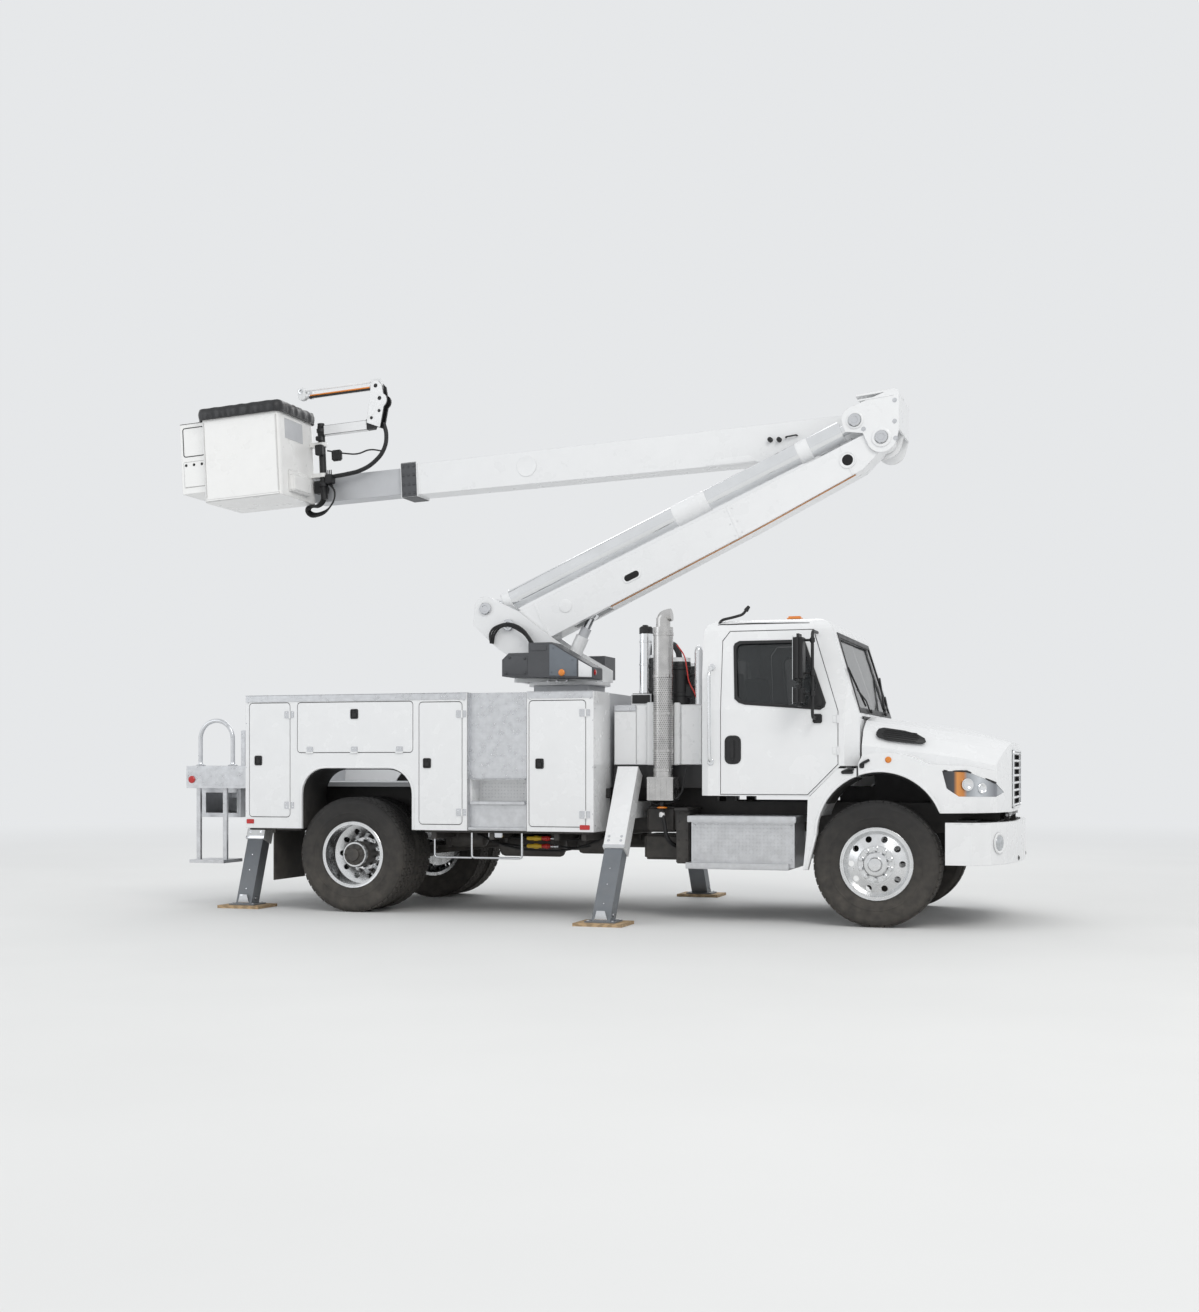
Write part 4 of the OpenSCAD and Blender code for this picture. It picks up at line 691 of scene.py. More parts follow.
# %% Recess lining
lining = Maker("access_lining")
GX0, GX1, BACK_Y = 1.128, 1.679, -1.1455
lining.block(at(GX0, BACK_Y - 0.002, 1.2), at(GX1, BACK_Y + 0.004, 1.948), 0.001)
lining.block(at(GX0, BACK_Y - 0.002, 0.75), at(GX1, BACK_Y + 0.004, 0.995), 0.001)
tread(lining, at(GX0, BACK_Y - 0.002, 1.205), (GX1 - GX0, 0, 0), (0, 0, 0.74), 0.03)
tread(lining, at(GX0, BACK_Y - 0.002, 0.77), (GX1 - GX0, 0, 0), (0, 0, 0.22), 0.03)
for x, way in ((GX0, 1), (GX1, -1)):
    lining.block(at(x, -1.199, 0.75), at(x + way * 0.003, BACK_Y, 1.948), 0.001)
    tread(lining, at(x + way * 0.0032, -1.199 if way > 0 else BACK_Y, 0.76),
          (0, 0.054 * way, 0), (0, 0, 1.18), 0.027)
lining.block(at(GX0 + 0.02, -1.196, 0.985), at(GX1 - 0.02, BACK_Y, 1.003), 0.006)
lining.block(at(GX0 + 0.02, -1.197, 0.972), at(GX1 - 0.02, -1.188, 1.003), 0.004)
tread(lining, at(GX0 + 0.03, -1.19, 1.0028), (GX1 - GX0 - 0.06, 0, 0), (0, 0.17, 0), 0.03)
lining.block(at(GX0, -1.198, 0.752), at(GX1, BACK_Y, 0.775), 0.005)
tread(lining, at(GX0, -1.1985, 0.752), (GX1 - GX0, 0, 0), (0, 0, 0.026), 0.024)
lining.block(at(GX0 + 0.02, -1.185, 1.19), at(GX1 - 0.02, BACK_Y, 1.2), 0.004)
tread(lining, at(GX0 + 0.03, -0.9715, 1.01), (GX1 - GX0 - 0.06, 0, 0), (0, 0, 0.17), 0.03)
lining.done(treaded, "chassis", "tread_plate", both=True)

# %% [markdown]
# ## Service body fittings
# Each compartment door has a black recessed paddle latch, bright leaf hinges, and a rubber seal
# that shows as a dark line in the gap. The latch is a rounded plate with a sunk pocket
# and a paddle inside: three small shapes read better than one box with a picture of a latch.

# %% Door fittings
doors = {"rear": (-1.02, -0.61, 0.85, 1.88), "drop": (-0.53, 0.605, 1.433, 1.88),
         "middle": (0.67, 1.075, 0.80, 1.87), "front": (1.705, 2.215, 0.79, 1.87)}
latches = {"rear": (-0.93, 1.36), "drop": (0.037, 1.775), "middle": (0.745, 1.335),
           "front": (1.80, 1.33)}
for name, (x0, x1, z0, z1) in doors.items():
    body = name + "_door_{side}_body"
    cx, cz = latches[name]
    latch = Maker(f"{name}_latch")
    face = side_face(FACE_Y - 0.003)
    latch.plate(rounded(cx - 0.038, cx + 0.038, cz - 0.044, cz + 0.044, 0.014), 0.008, face,
                holes=[rounded(cx - 0.028, cx + 0.028, cz - 0.034, cz + 0.034, 0.009)])
    latch.block(at(cx - 0.03, FACE_Y + 0.004, cz - 0.036),
                at(cx + 0.03, FACE_Y - 0.0005, cz + 0.036),
                0.002)
    latch.block(at(cx - 0.021, FACE_Y - 0.0005, cz - 0.03),
                at(cx + 0.021, FACE_Y - 0.006, cz + 0.012),
                0.005)
    latch.rod(at(cx, FACE_Y, cz + 0.022), at(cx, FACE_Y - 0.006, cz + 0.022), 0.009, 16, edge=0.001)
    latch.done(plastic, body, "trim_plastic", sides=True)
    edge = Maker(f"{name}_hinge_leaves")
    if name == "drop":
        for x in (x0 + 0.09, (x0 + x1) / 2 - 0.035, x1 - 0.16):
            edge.block(at(x + 0.004, FACE_Y - 0.0005, z0 + 0.006),
                       at(x + 0.066, FACE_Y - 0.0065, z0 + 0.05), 0.002)
            edge.bolts([at(x + 0.02, FACE_Y - 0.006, z0 + 0.03),
                        at(x + 0.05, FACE_Y - 0.006, z0 + 0.03)],
                       (0, -1, 0), 0.005, 0.004, False)
    else:
        for z in (z0 + 0.07, z1 - 0.14):
            edge.block(at(x1 - 0.052, FACE_Y - 0.0005, z + 0.004),
                       at(x1 - 0.006, FACE_Y - 0.0065, z + 0.066), 0.002)
            edge.bolts([at(x1 - 0.035, FACE_Y - 0.006, z + 0.02),
                        at(x1 - 0.035, FACE_Y - 0.006, z + 0.05)],
                       (0, -1, 0), 0.005, 0.004, False)
    edge.done(rod_steel, body, "white_paint", sides=True)
    print(name, "door", round(x1 - x0, 3), "wide")

seals = Maker("door_seals")
for x0, x1, z0, z1 in doors.values():
    seals.plate(rounded(x0 - 0.0055, x1 + 0.0055, z0 - 0.0055, z1 + 0.0055, 0.035), 0.012,
                side_face(FACE_Y + 0.013),
                holes=[rounded(x0 - 0.0005, x1 + 0.0005, z0 - 0.0005, z1 + 0.0005, 0.03)],
                edge=0.0004)
seals.done(liner_and_hole_shade, "chassis", "trim_plastic", both=True)

fixed = Maker("fixed_hinge_leaves")
for name, (x0, x1, z0, z1) in doors.items():
    if name != "drop":
        for z in (z0 + 0.07, z1 - 0.14):
            fixed.block(at(x1 + 0.009, FACE_Y + 0.0005, z + 0.006),
                        at(x1 + 0.042, FACE_Y - 0.004, z + 0.064), 0.002)
            fixed.bolts([at(x1 + 0.03, FACE_Y - 0.0035, z + h) for h in (0.02, 0.05)], (0, -1, 0),
                        0.005, 0.004, False)
for x in (-1.055, 2.28):
    fixed.bolts([at(x, FACE_Y, z) for z in (0.9, 1.3, 1.7)], (0, -1, 0), 0.005, 0.003, False)
fixed.done(rod_steel, "chassis", "rod_steel", both=True)

marks = Maker("side_reflectors")
for x0, x1, z0, z1 in ((-1.05, -0.975, 0.785, 0.825), (2.165, 2.255, 0.765, 0.805)):
    marks.block(at(x0, FACE_Y + 0.001, z0), at(x1, FACE_Y - 0.006, z1), 0.003)
marks.done(red_lens, "chassis", "lamp_lens", both=True)

# %% [markdown]
# The wheel opening has a rolled lip and, inside, a black splash liner. Both follow the opening's
# own outline, so one list of points is drawn once and used twice.

# %% Wheel opening lip and liner
def arch_points(grow):
    x0, x1, top, corner = -0.485 - grow, 0.600 + grow, 1.29 + grow, 0.23 + grow
    points = [(x0, 0.747)]
    points += ring(x0 + corner, top - corner, corner, 9, pi, pi / 2, closed=False)
    points += ring(x1 - corner, top - corner, corner, 9, pi / 2, 0, closed=False)
    return points + [(x1, 0.747)]


lip = Maker("arch_lip")
lip.plate(arch_points(0.022) + arch_points(0.0)[::-1], 0.012, side_face(FACE_Y - 0.002), edge=0.004)
lip.done(white, "chassis", "white_paint", both=True)
splash = Maker("arch_splash_liner")
splash.plate(arch_points(-0.004) + arch_points(-0.012)[::-1], 0.44, side_face(-0.965), edge=0.001)
splash.done(liner_and_hole_shade, "chassis", "trim_plastic", both=True)

# %% [markdown]
# ## Cab
# Glass in a cab is held by black rubber. Above the waist the cab's sides lean in, so a flat trim
# ring has to lie on that leaning plane. A small function gives the plane's matrix, and the same
# outline and hole helper then makes the side trims and the windscreen surround.

# %% Trim planes
WAIST_Z, DOOR_Y = 1.780, -1.080
LEAN = math.atan2(1.080 - 0.9875, 2.449 - WAIST_Z)
leaning = Matrix(((1, 0, 0), (0, sin(LEAN), -cos(LEAN)), (0, cos(LEAN), sin(LEAN)))).to_4x4()
side_glass_plane = Matrix.Translation(at(0, DOOR_Y, WAIST_Z)) @ leaning
screen_low, screen_high = Vector((4.520, 0, 1.720)), Vector((4.297, 0, 2.451))
up_screen = (screen_high - screen_low).normalized()
screen_plane = Matrix.Translation(at(4.520, 0, 1.720)) @ Matrix((
    (0, up_screen.x, up_screen.z), (1, 0, 0), (0, up_screen.z, -up_screen.x))).to_4x4()
print("side glass leans", round(math.degrees(LEAN), 1), "degrees")

# %% Side window rubber and door handle
def on_lean(points):
    return [(x, (z - WAIST_Z) / cos(LEAN)) for x, z in points]


def window(g):
    return on_lean([(3.500 - g, 1.885 - g), (3.53 - g / 2, 1.852 - g), (3.575, 1.835 - g),
                    (4.205 + g / 2, 1.785 - g), (4.235 + g, 1.795), (4.245 + g, 1.83),
                    (4.06 + g, 2.325 + g), (4.04, 2.345 + g), (3.52 - g / 2, 2.345 + g),
                    (3.488 - g, 2.325 + g), (3.478 - g, 2.30 + g)])


rubber_ring = Maker("window_rubber")
rubber_ring.plate(window(0.014), 0.014, side_glass_plane, holes=[window(-0.012)])
rubber_ring.plate(on_lean([(4.035, 1.80), (4.06, 1.80), (4.035, 2.34), (4.01, 2.34)]), 0.012,
                  side_glass_plane)
rubber_ring.plate(on_lean([(4.11, 1.795), (4.245, 1.80), (4.243, 1.84), (4.19, 1.97),
                           (4.11, 1.86)]),
                  0.012, side_glass_plane)
rubber_ring.done(plastic, "cab_door_{side}_body", "trim_plastic", sides=True)

handle = Maker("door_handle")
door_face = side_face(DOOR_Y)
handle.plate(rounded(3.405, 3.545, 1.325, 1.565, 0.05), 0.012, door_face,
             holes=[rounded(3.425, 3.525, 1.345, 1.545, 0.035)], edge=0.003)
handle.plate(rounded(3.424, 3.526, 1.344, 1.546, 0.035), 0.004, side_face(DOOR_Y - 0.001))
handle.block(at(3.452, DOOR_Y - 0.001, 1.37), at(3.492, DOOR_Y - 0.02, 1.53), 0.012, 3)
handle.rod(at(3.472, DOOR_Y, 1.365), at(3.472, DOOR_Y - 0.012, 1.365), 0.014, 16, edge=0.003)
handle.done(plastic, "cab_door_{side}_body", "trim_plastic", sides=True)

# %% [markdown]
# The windscreen surround, wipers, roof lamps, antenna and the grab bar behind the door are fixed to
# the cab. Bars and arms are rods with real bends, since a straight cylinder never looks bolted on.

# %% Windscreen surround and wipers
def screen(half_low, z_low, half_high, z_high):
    scale = up_screen.z
    return [(-half_low, (z_low - 1.72) / scale), (half_low, (z_low - 1.72) / scale),
            (half_high, (z_high - 1.72) / scale), (-half_high, (z_high - 1.72) / scale)]


surround = Maker("windscreen_rubber")
surround.plate(screen(0.895, 1.752, 0.832, 2.425), 0.014, screen_plane,
               holes=[screen(0.855, 1.795, 0.795, 2.385)])
for side in (RIGHT, LEFT):
    pivot = screen_plane @ Vector((side * 0.42, 0.05, 0.016))
    tip = screen_plane @ Vector((side * 0.80, 0.23, 0.02))
    surround.bent([pivot, pivot.lerp(tip, 0.5) + Vector((0.02, 0, 0)), tip], 0.007, 0.03, 8)
    a = screen_plane @ Vector((side * 0.55, 0.10, 0.012))
    b = screen_plane @ Vector((side * 0.88, 0.42, 0.012))
    surround.bent([a, a.lerp(b, 0.5), b], 0.009, 0.03, 6)
    surround.rod(pivot, pivot + Vector((0.02, 0, 0.006)), 0.018, 16, edge=0.004)
surround.done(plastic, "chassis", "trim_plastic")

cowl = Maker("cowl_vent")
cowl.block(at(4.505, -0.84, 1.700), at(4.534, 0.84, 1.722), 0.006)
for k in range(40):
    y = -0.8 + k * 0.041
    cowl.block(at(4.509, y, 1.721), at(4.531, y + 0.012, 1.7245), 0.001, 1)
cowl.done(plastic, "chassis", "trim_plastic")

roof = Maker("roof_lamps")
for y in (-0.80, -0.22, 0, 0.22, 0.80):
    roof.block(at(3.88, y - 0.035, 2.536), at(4.01, y + 0.035, 2.572), 0.014, 3)
roof.done(amber_lens, "chassis", "lamp_lens")
bases = Maker("roof_lamp_bases")
for y in (-0.80, -0.22, 0, 0.22, 0.80):
    bases.block(at(3.865, y - 0.042, 2.528), at(4.03, y + 0.042, 2.546), 0.007)
bases.done(white, "chassis", "white_paint")

aerial = Maker("roof_aerial")
aerial.bent([at(3.30, -0.93, 2.46), at(3.34, -0.94, 2.545), at(3.45, -0.95, 2.565),
             at(3.53, -0.95, 2.585),
             at(3.565, -0.95, 2.63)], 0.012, 0.03)
aerial.rod(at(3.555, -0.95, 2.615), at(3.585, -0.95, 2.655), 0.02, 16, 0.014, 0.004)
aerial.block(at(3.28, -0.96, 2.45), at(3.34, -0.90, 2.485), 0.008)
aerial.pipe([at(3.225, -0.955, 2.36), at(3.235, -0.955, 2.43), at(3.30, -0.955, 2.492),
             at(3.42, -0.957, 2.502), at(3.9, -0.957, 2.502), at(4.10, -0.957, 2.497)], 0.007, 8)
aerial.done(plastic, "chassis", "trim_plastic")

grab = Maker("grab_bars")
grab.bent([at(3.283, -1.015, 2.14), at(3.283, -1.082, 2.13), at(3.281, -1.128, 2.08),
           at(3.285, -1.132, 1.42), at(3.288, -1.122, 1.355), at(3.288, -1.075, 1.345)], 0.0145,
           0.05)
for z, y in ((2.14, -1.036), (1.345, -1.082)):
    grab.rod(at(3.285, y + 0.02, z), at(3.285, y - 0.008, z), 0.03, 20, edge=0.004)
    grab.bolts([at(3.285, y - 0.008, z + 0.018)], (0, -1, 0), 0.006, 0.004, False)
grab.done(chrome, "chassis", "bright_tube", both=True)

# %% [markdown]
# The tall and the short mirror share one upright tube. Mirror heads are moulded boxes with well
# rounded edges and a flat glass let into the back, so each is a heavily bevelled block plus a pane.

# %% Mirrors
heads = Maker("mirror_heads")
MY = -1.230
for z0, z1 in ((1.990, 2.385), (1.795, 1.968)):
    heads.block(at(4.032, MY - 0.128, z0), at(4.112, MY + 0.058, z1), 0.03, 4)
heads.bent([at(4.175, -1.02, 2.412), at(4.175, MY, 2.412), at(4.175, MY, 1.702),
            at(4.175, -1.085, 1.702)],
           0.0135, 0.05)
for z in (2.066, 2.336, 1.898):
    heads.bent([at(4.100, MY, z), at(4.140, MY, z), at(4.180, MY, z)], 0.011, 0.01, 10)
    heads.rod(at(4.175, MY, z - 0.02), at(4.175, MY, z + 0.02), 0.021, 16, edge=0.004)
heads.block(at(4.150, -1.0815, 1.662), at(4.228, -1.098, 1.738), 0.008)
heads.bolts([at(4.165 + dx, -1.098, 1.68 + dz) for dx in (0, 0.045) for dz in (0, 0.04)],
            (0, -1, 0), 0.006, 0.005)
for obj, side in zip(heads.done(plastic, "cab_door_{side}_body", "trim_plastic", sides=True),
                     ("right", "left")):
    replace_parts(obj, f"mirrors_{side}")
panes = Maker("mirror_glass")
for z0, z1 in ((2.008, 2.367), (1.812, 1.951)):
    panes.block(at(4.0305, MY - 0.112, z0), at(4.034, MY + 0.042, z1), 0.0015)
panes.done(chrome, "cab_door_{side}_body", "bright_tube", sides=True)

# %% [markdown]
# ## Bonnet and nose
# The one-piece bonnet carries a louvred side vent, a rolled lip over each wheel, the lamps
# and the grille. The vent sits on a sloping flank, so its own small plane is worked out from
# two directions on the flank, along it and up it.

# %% Side vents, wheel lips and small bonnet parts
flank = (Vector((1, 0.072, -0.135))).normalized()
rise = Vector((0, 0.547, 0.837))
rise = (rise - flank * rise.dot(flank)).normalized()
outward = flank.cross(rise)
vent_plane = Matrix((flank, rise, outward)).transposed().to_4x4()
vent_plane = Matrix.Translation(at(4.85, -0.915, 1.553)) @ vent_plane
vent_outline = [(-0.205, 0.01), (-0.19, 0.045), (-0.15, 0.062), (0.02, 0.058), (0.13, 0.038),
                (0.19, 0.008),
                (0.205, -0.022), (0.18, -0.044), (0.1, -0.054), (-0.1, -0.056), (-0.18, -0.04),
                (-0.203, -0.015)]
vent = Maker("bonnet_vents")
vent.plate(vent_outline, 0.016, vent_plane, edge=0.004)
for k in range(5):
    v = 0.04 - k * 0.02
    vent.block((-0.16 + abs(v) * 0.6, v - 0.005, 0.004), (0.15 - abs(v) * 0.6, v + 0.003, 0.0145),
               0.003,
               2, vent_plane)
vent.done(plastic, "hood_body", "trim_plastic", both=True)


def arc_band(cx, cz, inner, outer, start, end, count=28):
    return (ring(cx, cz, outer, count, radians(start), radians(end), closed=False)
            + ring(cx, cz, inner, count, radians(end), radians(start), closed=False))


fender = Maker("fender_lips")
fender.plate(arc_band(4.71, 0.75, 0.5105, 0.532, 22, 109), 0.014, side_face(-1.169), edge=0.005)
fender.done(white, "hood_body", "white_paint", both=True)
rear_lip = Maker("quarter_fender_lips")
rear_lip.plate(arc_band(4.71, 0.75, 0.5105, 0.532, 113, 180), 0.014, side_face(-1.169), edge=0.005)
rear_lip.plate([(4.178, 0.75), (4.2, 0.75), (4.122, 0.462), (4.1, 0.462)], 0.014, side_face(-1.169),
               edge=0.005)
rear_lip.done(white, "chassis", "white_paint", both=True)
wheel_liner = Maker("fender_liners")
wheel_liner.plate(arc_band(4.71, 0.75, 0.497, 0.509, 24, 108), 0.46, side_face(-0.925), edge=0.001)
wheel_liner.done(liner_and_hole_shade, "hood_body", "trim_plastic", both=True)
wheel_liner = Maker("quarter_liners")
wheel_liner.plate(arc_band(4.71, 0.75, 0.497, 0.509, 114, 150), 0.40, side_face(-0.955), edge=0.001)
wheel_liner.done(liner_and_hole_shade, "chassis", "trim_plastic", both=True)

marker = Maker("fender_markers")
marker.rod(at(4.781, -1.168, 1.36), at(4.781, -1.182, 1.36), 0.026, 24, 0.02, 0.005)
marker.done(amber_lens, "hood_body", "lamp_lens", both=True)
strap = Maker("bonnet_straps")
strap.bent([at(4.556, -1.168, 1.318), at(4.575, -1.184, 1.332), at(4.60, -1.186, 1.345),
            at(4.625, -1.170, 1.358)],
           0.012, 0.01, 8)
strap.block(at(4.548, -1.166, 1.292), at(4.588, -1.182, 1.332), 0.006)
strap.done(plastic, "hood_body", "trim_plastic", both=True)
catch = Maker("bonnet_catches")
catch.block(at(4.40, -1.1705, 1.245), at(4.50, -1.184, 1.272), 0.006)
catch.bent([at(4.41, -1.172, 1.262), at(4.45, -1.190, 1.280), at(4.505, -1.178, 1.284)], 0.010,
           0.02, 8)
catch.done(plastic, "chassis", "trim_plastic", both=True)

# %% [markdown]
# A modern truck's lamp is a clear cover over bright bowls, an amber corner and black trim. The CAD
# lens keeps the outline; its finish changes along the truck from amber to smoked to clear, and two
# real chromed bowls stand just proud of it.

# %% Lamp finish and bowls
lamp_mat = finish("headlamp_lens", (0.5, 0.52, 0.54), 0.06, coat=0.9, metal=0.4, shade=0.3,
                  grain=30,
                  relief=0.3, grit=50)
tree = lamp_mat.node_tree
split = tree.nodes.new("ShaderNodeSeparateXYZ")
tree.links.new(tree.nodes["Texture Coordinate"].outputs["Object"], split.inputs[0])
spread = tree.nodes.new("ShaderNodeMapRange")
spread.inputs["From Min"].default_value = AXLE_X + 5.20
spread.inputs["From Max"].default_value = AXLE_X + 5.66
tree.links.new(split.outputs["X"], spread.inputs["Value"])
bands = tree.nodes.new("ShaderNodeValToRGB")
bands.color_ramp.elements[0].color = (0.02, 0.021, 0.024, 1)
bands.color_ramp.elements[1].color = (0.42, 0.45, 0.48, 1)
for place, colour in ((0.2, (0.05, 0.052, 0.058, 1)), (0.26, (0.75, 0.3, 0.06, 1)),
                      (0.36, (0.6, 0.22, 0.04, 1)),
                      (0.42, (0.3, 0.32, 0.34, 1)), (0.62, (0.62, 0.65, 0.68, 1)),
                      (0.85, (0.2, 0.21, 0.23, 1))):
    stop = bands.color_ramp.elements.new(place)
    stop.color = colour
tree.links.new(spread.outputs["Result"], bands.inputs["Fac"])
tree.links.new(bands.outputs["Color"], tree.nodes["Principled BSDF"].inputs["Base Color"])
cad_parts["headlights"].data.materials.clear()
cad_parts["headlights"].data.materials.append(lamp_mat)

bowls = Maker("headlamp_bowls")
for x, y, z, nx, r in ((5.395, -1.048, 1.16, 0.5, 0.05), (5.50, -0.955, 1.13, 0.7, 0.042)):
    seat = facing(at(x, y, z), (nx, -math.sqrt(1 - nx * nx), 0.05))
    bowls.turn([(r, 0), (r, 0.009), (r - 0.005, 0.012), (r - 0.01, 0.008), (r * 0.5, -0.004),
                (0, -0.006)],
               seat, 32)
bowls.done(chrome, "hood_body", "lamp_lens", both=True)
brow = Maker("headlamp_trim")
for a, b in (((5.215, -1.136, 1.272), (5.39, -1.05, 1.268)),
             ((5.39, -1.05, 1.268), (5.60, -0.822, 1.173))):
    brow.bent([at(*a), at(*((Vector(a) + Vector(b)) / 2)), at(*b)], 0.0075, 0.02, 8)
brow.done(plastic, "hood_body", "trim_plastic", both=True)

# %% Grille bars
bars = Maker("grille_bars")
for k in range(8):
    z = 0.975 + k * 0.062
    for y0, y1 in ((-0.425, -0.006), (0.006, 0.425)):
        bars.block(at(5.694, y0, z), at(5.714, y1, z + 0.017), 0.006)
bars.plate(rounded(-0.445, 0.445, 0.955, 1.447, 0.03), 0.014,
           Matrix.Translation(at(5.712, 0, 0)) @ Matrix(((0, 0, 1), (1, 0, 0), (0, 1, 0))).to_4x4(),
           holes=[rounded(-0.428, 0.428, 0.972, 1.430, 0.02)], edge=0.004)
bars.done(chrome, "hood_body", "bright_tube")

# %% [markdown]
# ## Bumper
# The painted steel bumper sweeps back at its ends. Round fog lamps sit in sunk bezels on the slope,
# a black strip fills the gap under the bonnet, and two tow hooks show below.

# %% Bumper fittings
fog_seat = facing(at(5.637, -0.935, 0.69), (0.905, -0.425, 0))
fog = Maker("fog_bezels")
fog.turn([(0.085, -0.004), (0.085, 0.006), (0.079, 0.010), (0.064, 0.004), (0.06, -0.004)],
         fog_seat, 40)
for k in range(3):
    fog.block(at(5.30 + 0.1 * k, -1.1495, 0.845), at(5.36 + 0.1 * k, -1.1525, 0.849), 0.001)
fog.done(white, "chassis", "white_paint", both=True)
fog = Maker("fog_lamps")
fog.turn([(0.061, 0.0005), (0.058, 0.004), (0.03, 0.008), (0, 0.009)], fog_seat, 40)
fog.done(clear_lens, "chassis", "lamp_lens", both=True)
gap = Maker("bumper_filler")
for x0, x1, half, top in ((5.30, 5.46, 1.02, 0.870), (5.46, 5.62, 0.86, 0.860)):
    gap.block(at(x0, -half, 0.848), at(x1, half, top), 0.004)
gap.block(at(5.36, -0.98, 0.535), at(5.60, 0.98, 0.56), 0.008)
for y in (-0.42, 0.42):
    gap.bent([at(5.58, y, 0.60), at(5.72, y, 0.575), at(5.755, y, 0.545), at(5.72, y, 0.522),
              at(5.62, y, 0.53)],
             0.016, 0.03)
gap.done(plastic, "chassis", "trim_plastic")

# %% [markdown]
# ## Steps and tanks
# The step box under the right door and the tank under the left one wear tread plate on their faces
# and on the two ledges that serve as steps.

# %% Step ledges
steps = Maker("step_ledges")
steps.block(at(3.098, -1.152, 0.842), at(4.022, -0.80, 0.893), 0.008)
steps.block(at(3.083, -1.152, 0.448), at(3.962, -1.05, 0.498), 0.008)
tread(steps, at(3.125, -1.0915, 0.505), (0.87, 0, 0), (0, 0, 0.33), 0.03)
tread(steps, at(3.105, -1.1525, 0.846), (0.91, 0, 0), (0, 0, 0.045), 0.026)
tread(steps, at(3.09, -1.1525, 0.452), (0.865, 0, 0), (0, 0, 0.045), 0.026)
tread(steps, at(3.105, -1.148, 0.893), (0.91, 0, 0), (0, 0.33, 0), 0.03)
tread(steps, at(3.09, -1.148, 0.498), (0.86, 0, 0), (0, 0.055, 0), 0.027)
steps.bolts([at(x, -1.09, z) for x in (3.15, 3.97) for z in (0.53, 0.81)], (0, -1, 0), 0.008, 0.006)
steps.done(treaded, "chassis", "tread_plate", both=True)

# %% [markdown]
# ## Behind the cab
# Here stand the exhaust with its pierced heat shield, a second bright pipe, black air cleaners, and
# riveted panels. The shield's holes are many and small, so they are shown as small black slots
# standing a hair proud of the tube, painted shade for the dark inside each hole: cutting a
# thousand real holes would cost far more faces.

# %% Exhaust stack
SX, SY = 2.820, -0.900
stack = Maker("stack_fittings")
for z in (1.275, 1.44, 1.76, 2.08, 2.44):
    stack.turn([(0.086, -0.014), (0.0895, -0.012), (0.0895, 0.012), (0.086, 0.014)],
               facing(at(SX, SY, z), (0, 0, 1)), 40)
    stack.block(at(SX + 0.05, SY - 0.085, z - 0.012), at(SX + 0.075, SY - 0.055, z + 0.012), 0.003)
for k in range(5):
    x = SX - 0.1 + k * 0.05
    stack.block(at(x - 0.008, SY - 0.108, 1.03), at(x + 0.008, SY - 0.104, 1.20), 0.003)
stack.block(at(SX - 0.118, SY - 0.108, 1.196), at(SX + 0.118, SY + 0.098, 1.216), 0.005)
stack.block(at(SX - 0.118, SY - 0.108, 1.016), at(SX + 0.118, SY + 0.098, 1.032), 0.005)
stack.bent([at(SX, SY, 2.52), at(SX, SY, 2.585), at(SX + 0.03, SY, 2.60),
            at(SX + 0.075, SY, 2.606)], 0.055, 0.05, 20)
stack.done(stack_steel, "chassis", "stack_steel")
# black slots: painted shade standing in for the dark seen through the shield's holes
holes = Maker("stack_shield_hole_shade")
part = bmesh.new()
SHIELD_ROWS, SHIELD_SLOTS, SHIELD_R = 44, 30, 0.0858
for row in range(SHIELD_ROWS):
    z = 1.30 + row * 0.0182
    for k in range(SHIELD_SLOTS):
        a = 2 * pi * (k + 0.5 * (row % 2)) / SHIELD_SLOTS
        spot = []
        for da, dz in ((-0.045, 0), (0, -0.0045), (0.045, 0), (0, 0.0045)):
            spot.append(part.verts.new(at(SX + SHIELD_R * cos(a + da), SY + SHIELD_R * sin(a + da),
                                          z + dz)))
        part.faces.new(spot)
holes.take(part)
holes.done(liner_and_hole_shade, "chassis", "stack_steel")

# %% Pipes, air cleaners and boxes on the tank
pipes = Maker("second_pipe")
pipes.turn([(0.0565, 0), (0.0565, 0.63), (0.052, 0.655), (0, 0.66)],
           facing(at(2.590, -0.640, 1.842), (0, 0, 1)), 36)
for z in (1.96, 2.2, 2.4):
    pipes.turn([(0.0565, -0.01), (0.0605, -0.008), (0.0605, 0.008), (0.0565, 0.01)],
               facing(at(2.590, -0.640, z), (0, 0, 1)), 36)
pipes.turn([(0.036, 0), (0.036, 0.46), (0.026, 0.495), (0.01, 0.508), (0, 0.51)],
           facing(at(3.092, -0.740, 1.842), (0, 0, 1)), 28)
pipes.done(chrome, "chassis", "bright_tube")
cleaners = Maker("air_cleaners")
for y in (-0.64, 0.64):
    cleaners.turn([(0.0715, 0), (0.0715, 0.12), (0.078, 0.125), (0.078, 0.15), (0.0715, 0.155),
                   (0.0715, 0.33),
                   (0.078, 0.335), (0.078, 0.36), (0.0715, 0.365), (0.0715, 0.41), (0.055, 0.44),
                   (0, 0.445)],
                  facing(at(2.700, y, 1.842), (0, 0, 1)), 36)
for y in (-0.66, 0.66):
    cleaners.turn([(0.097, 0), (0.097, 0.07), (0.105, 0.075), (0.105, 0.10), (0.097, 0.105),
                   (0.097, 0.30),
                   (0.105, 0.305), (0.105, 0.33), (0.097, 0.335), (0.097, 0.37), (0.075, 0.41),
                   (0, 0.415)],
                  facing(at(2.900, y, 1.842), (0, 0, 1)), 40)
cleaners.block(at(2.474, -0.726, 1.842), at(2.664, -0.494, 1.945), 0.014, 3)
cleaners.turn([(0.06, 0), (0.06, 0.05), (0.05, 0.062), (0, 0.064)],
              facing(at(2.590, -0.640, 2.47), (0, 0, 1)), 30)
cleaners.block(at(2.56, -0.70, 2.50), at(2.62, -0.62, 2.545), 0.012)
cleaners.block(at(2.96, -0.735, 1.90), at(3.05, -0.60, 2.02), 0.015, 3)
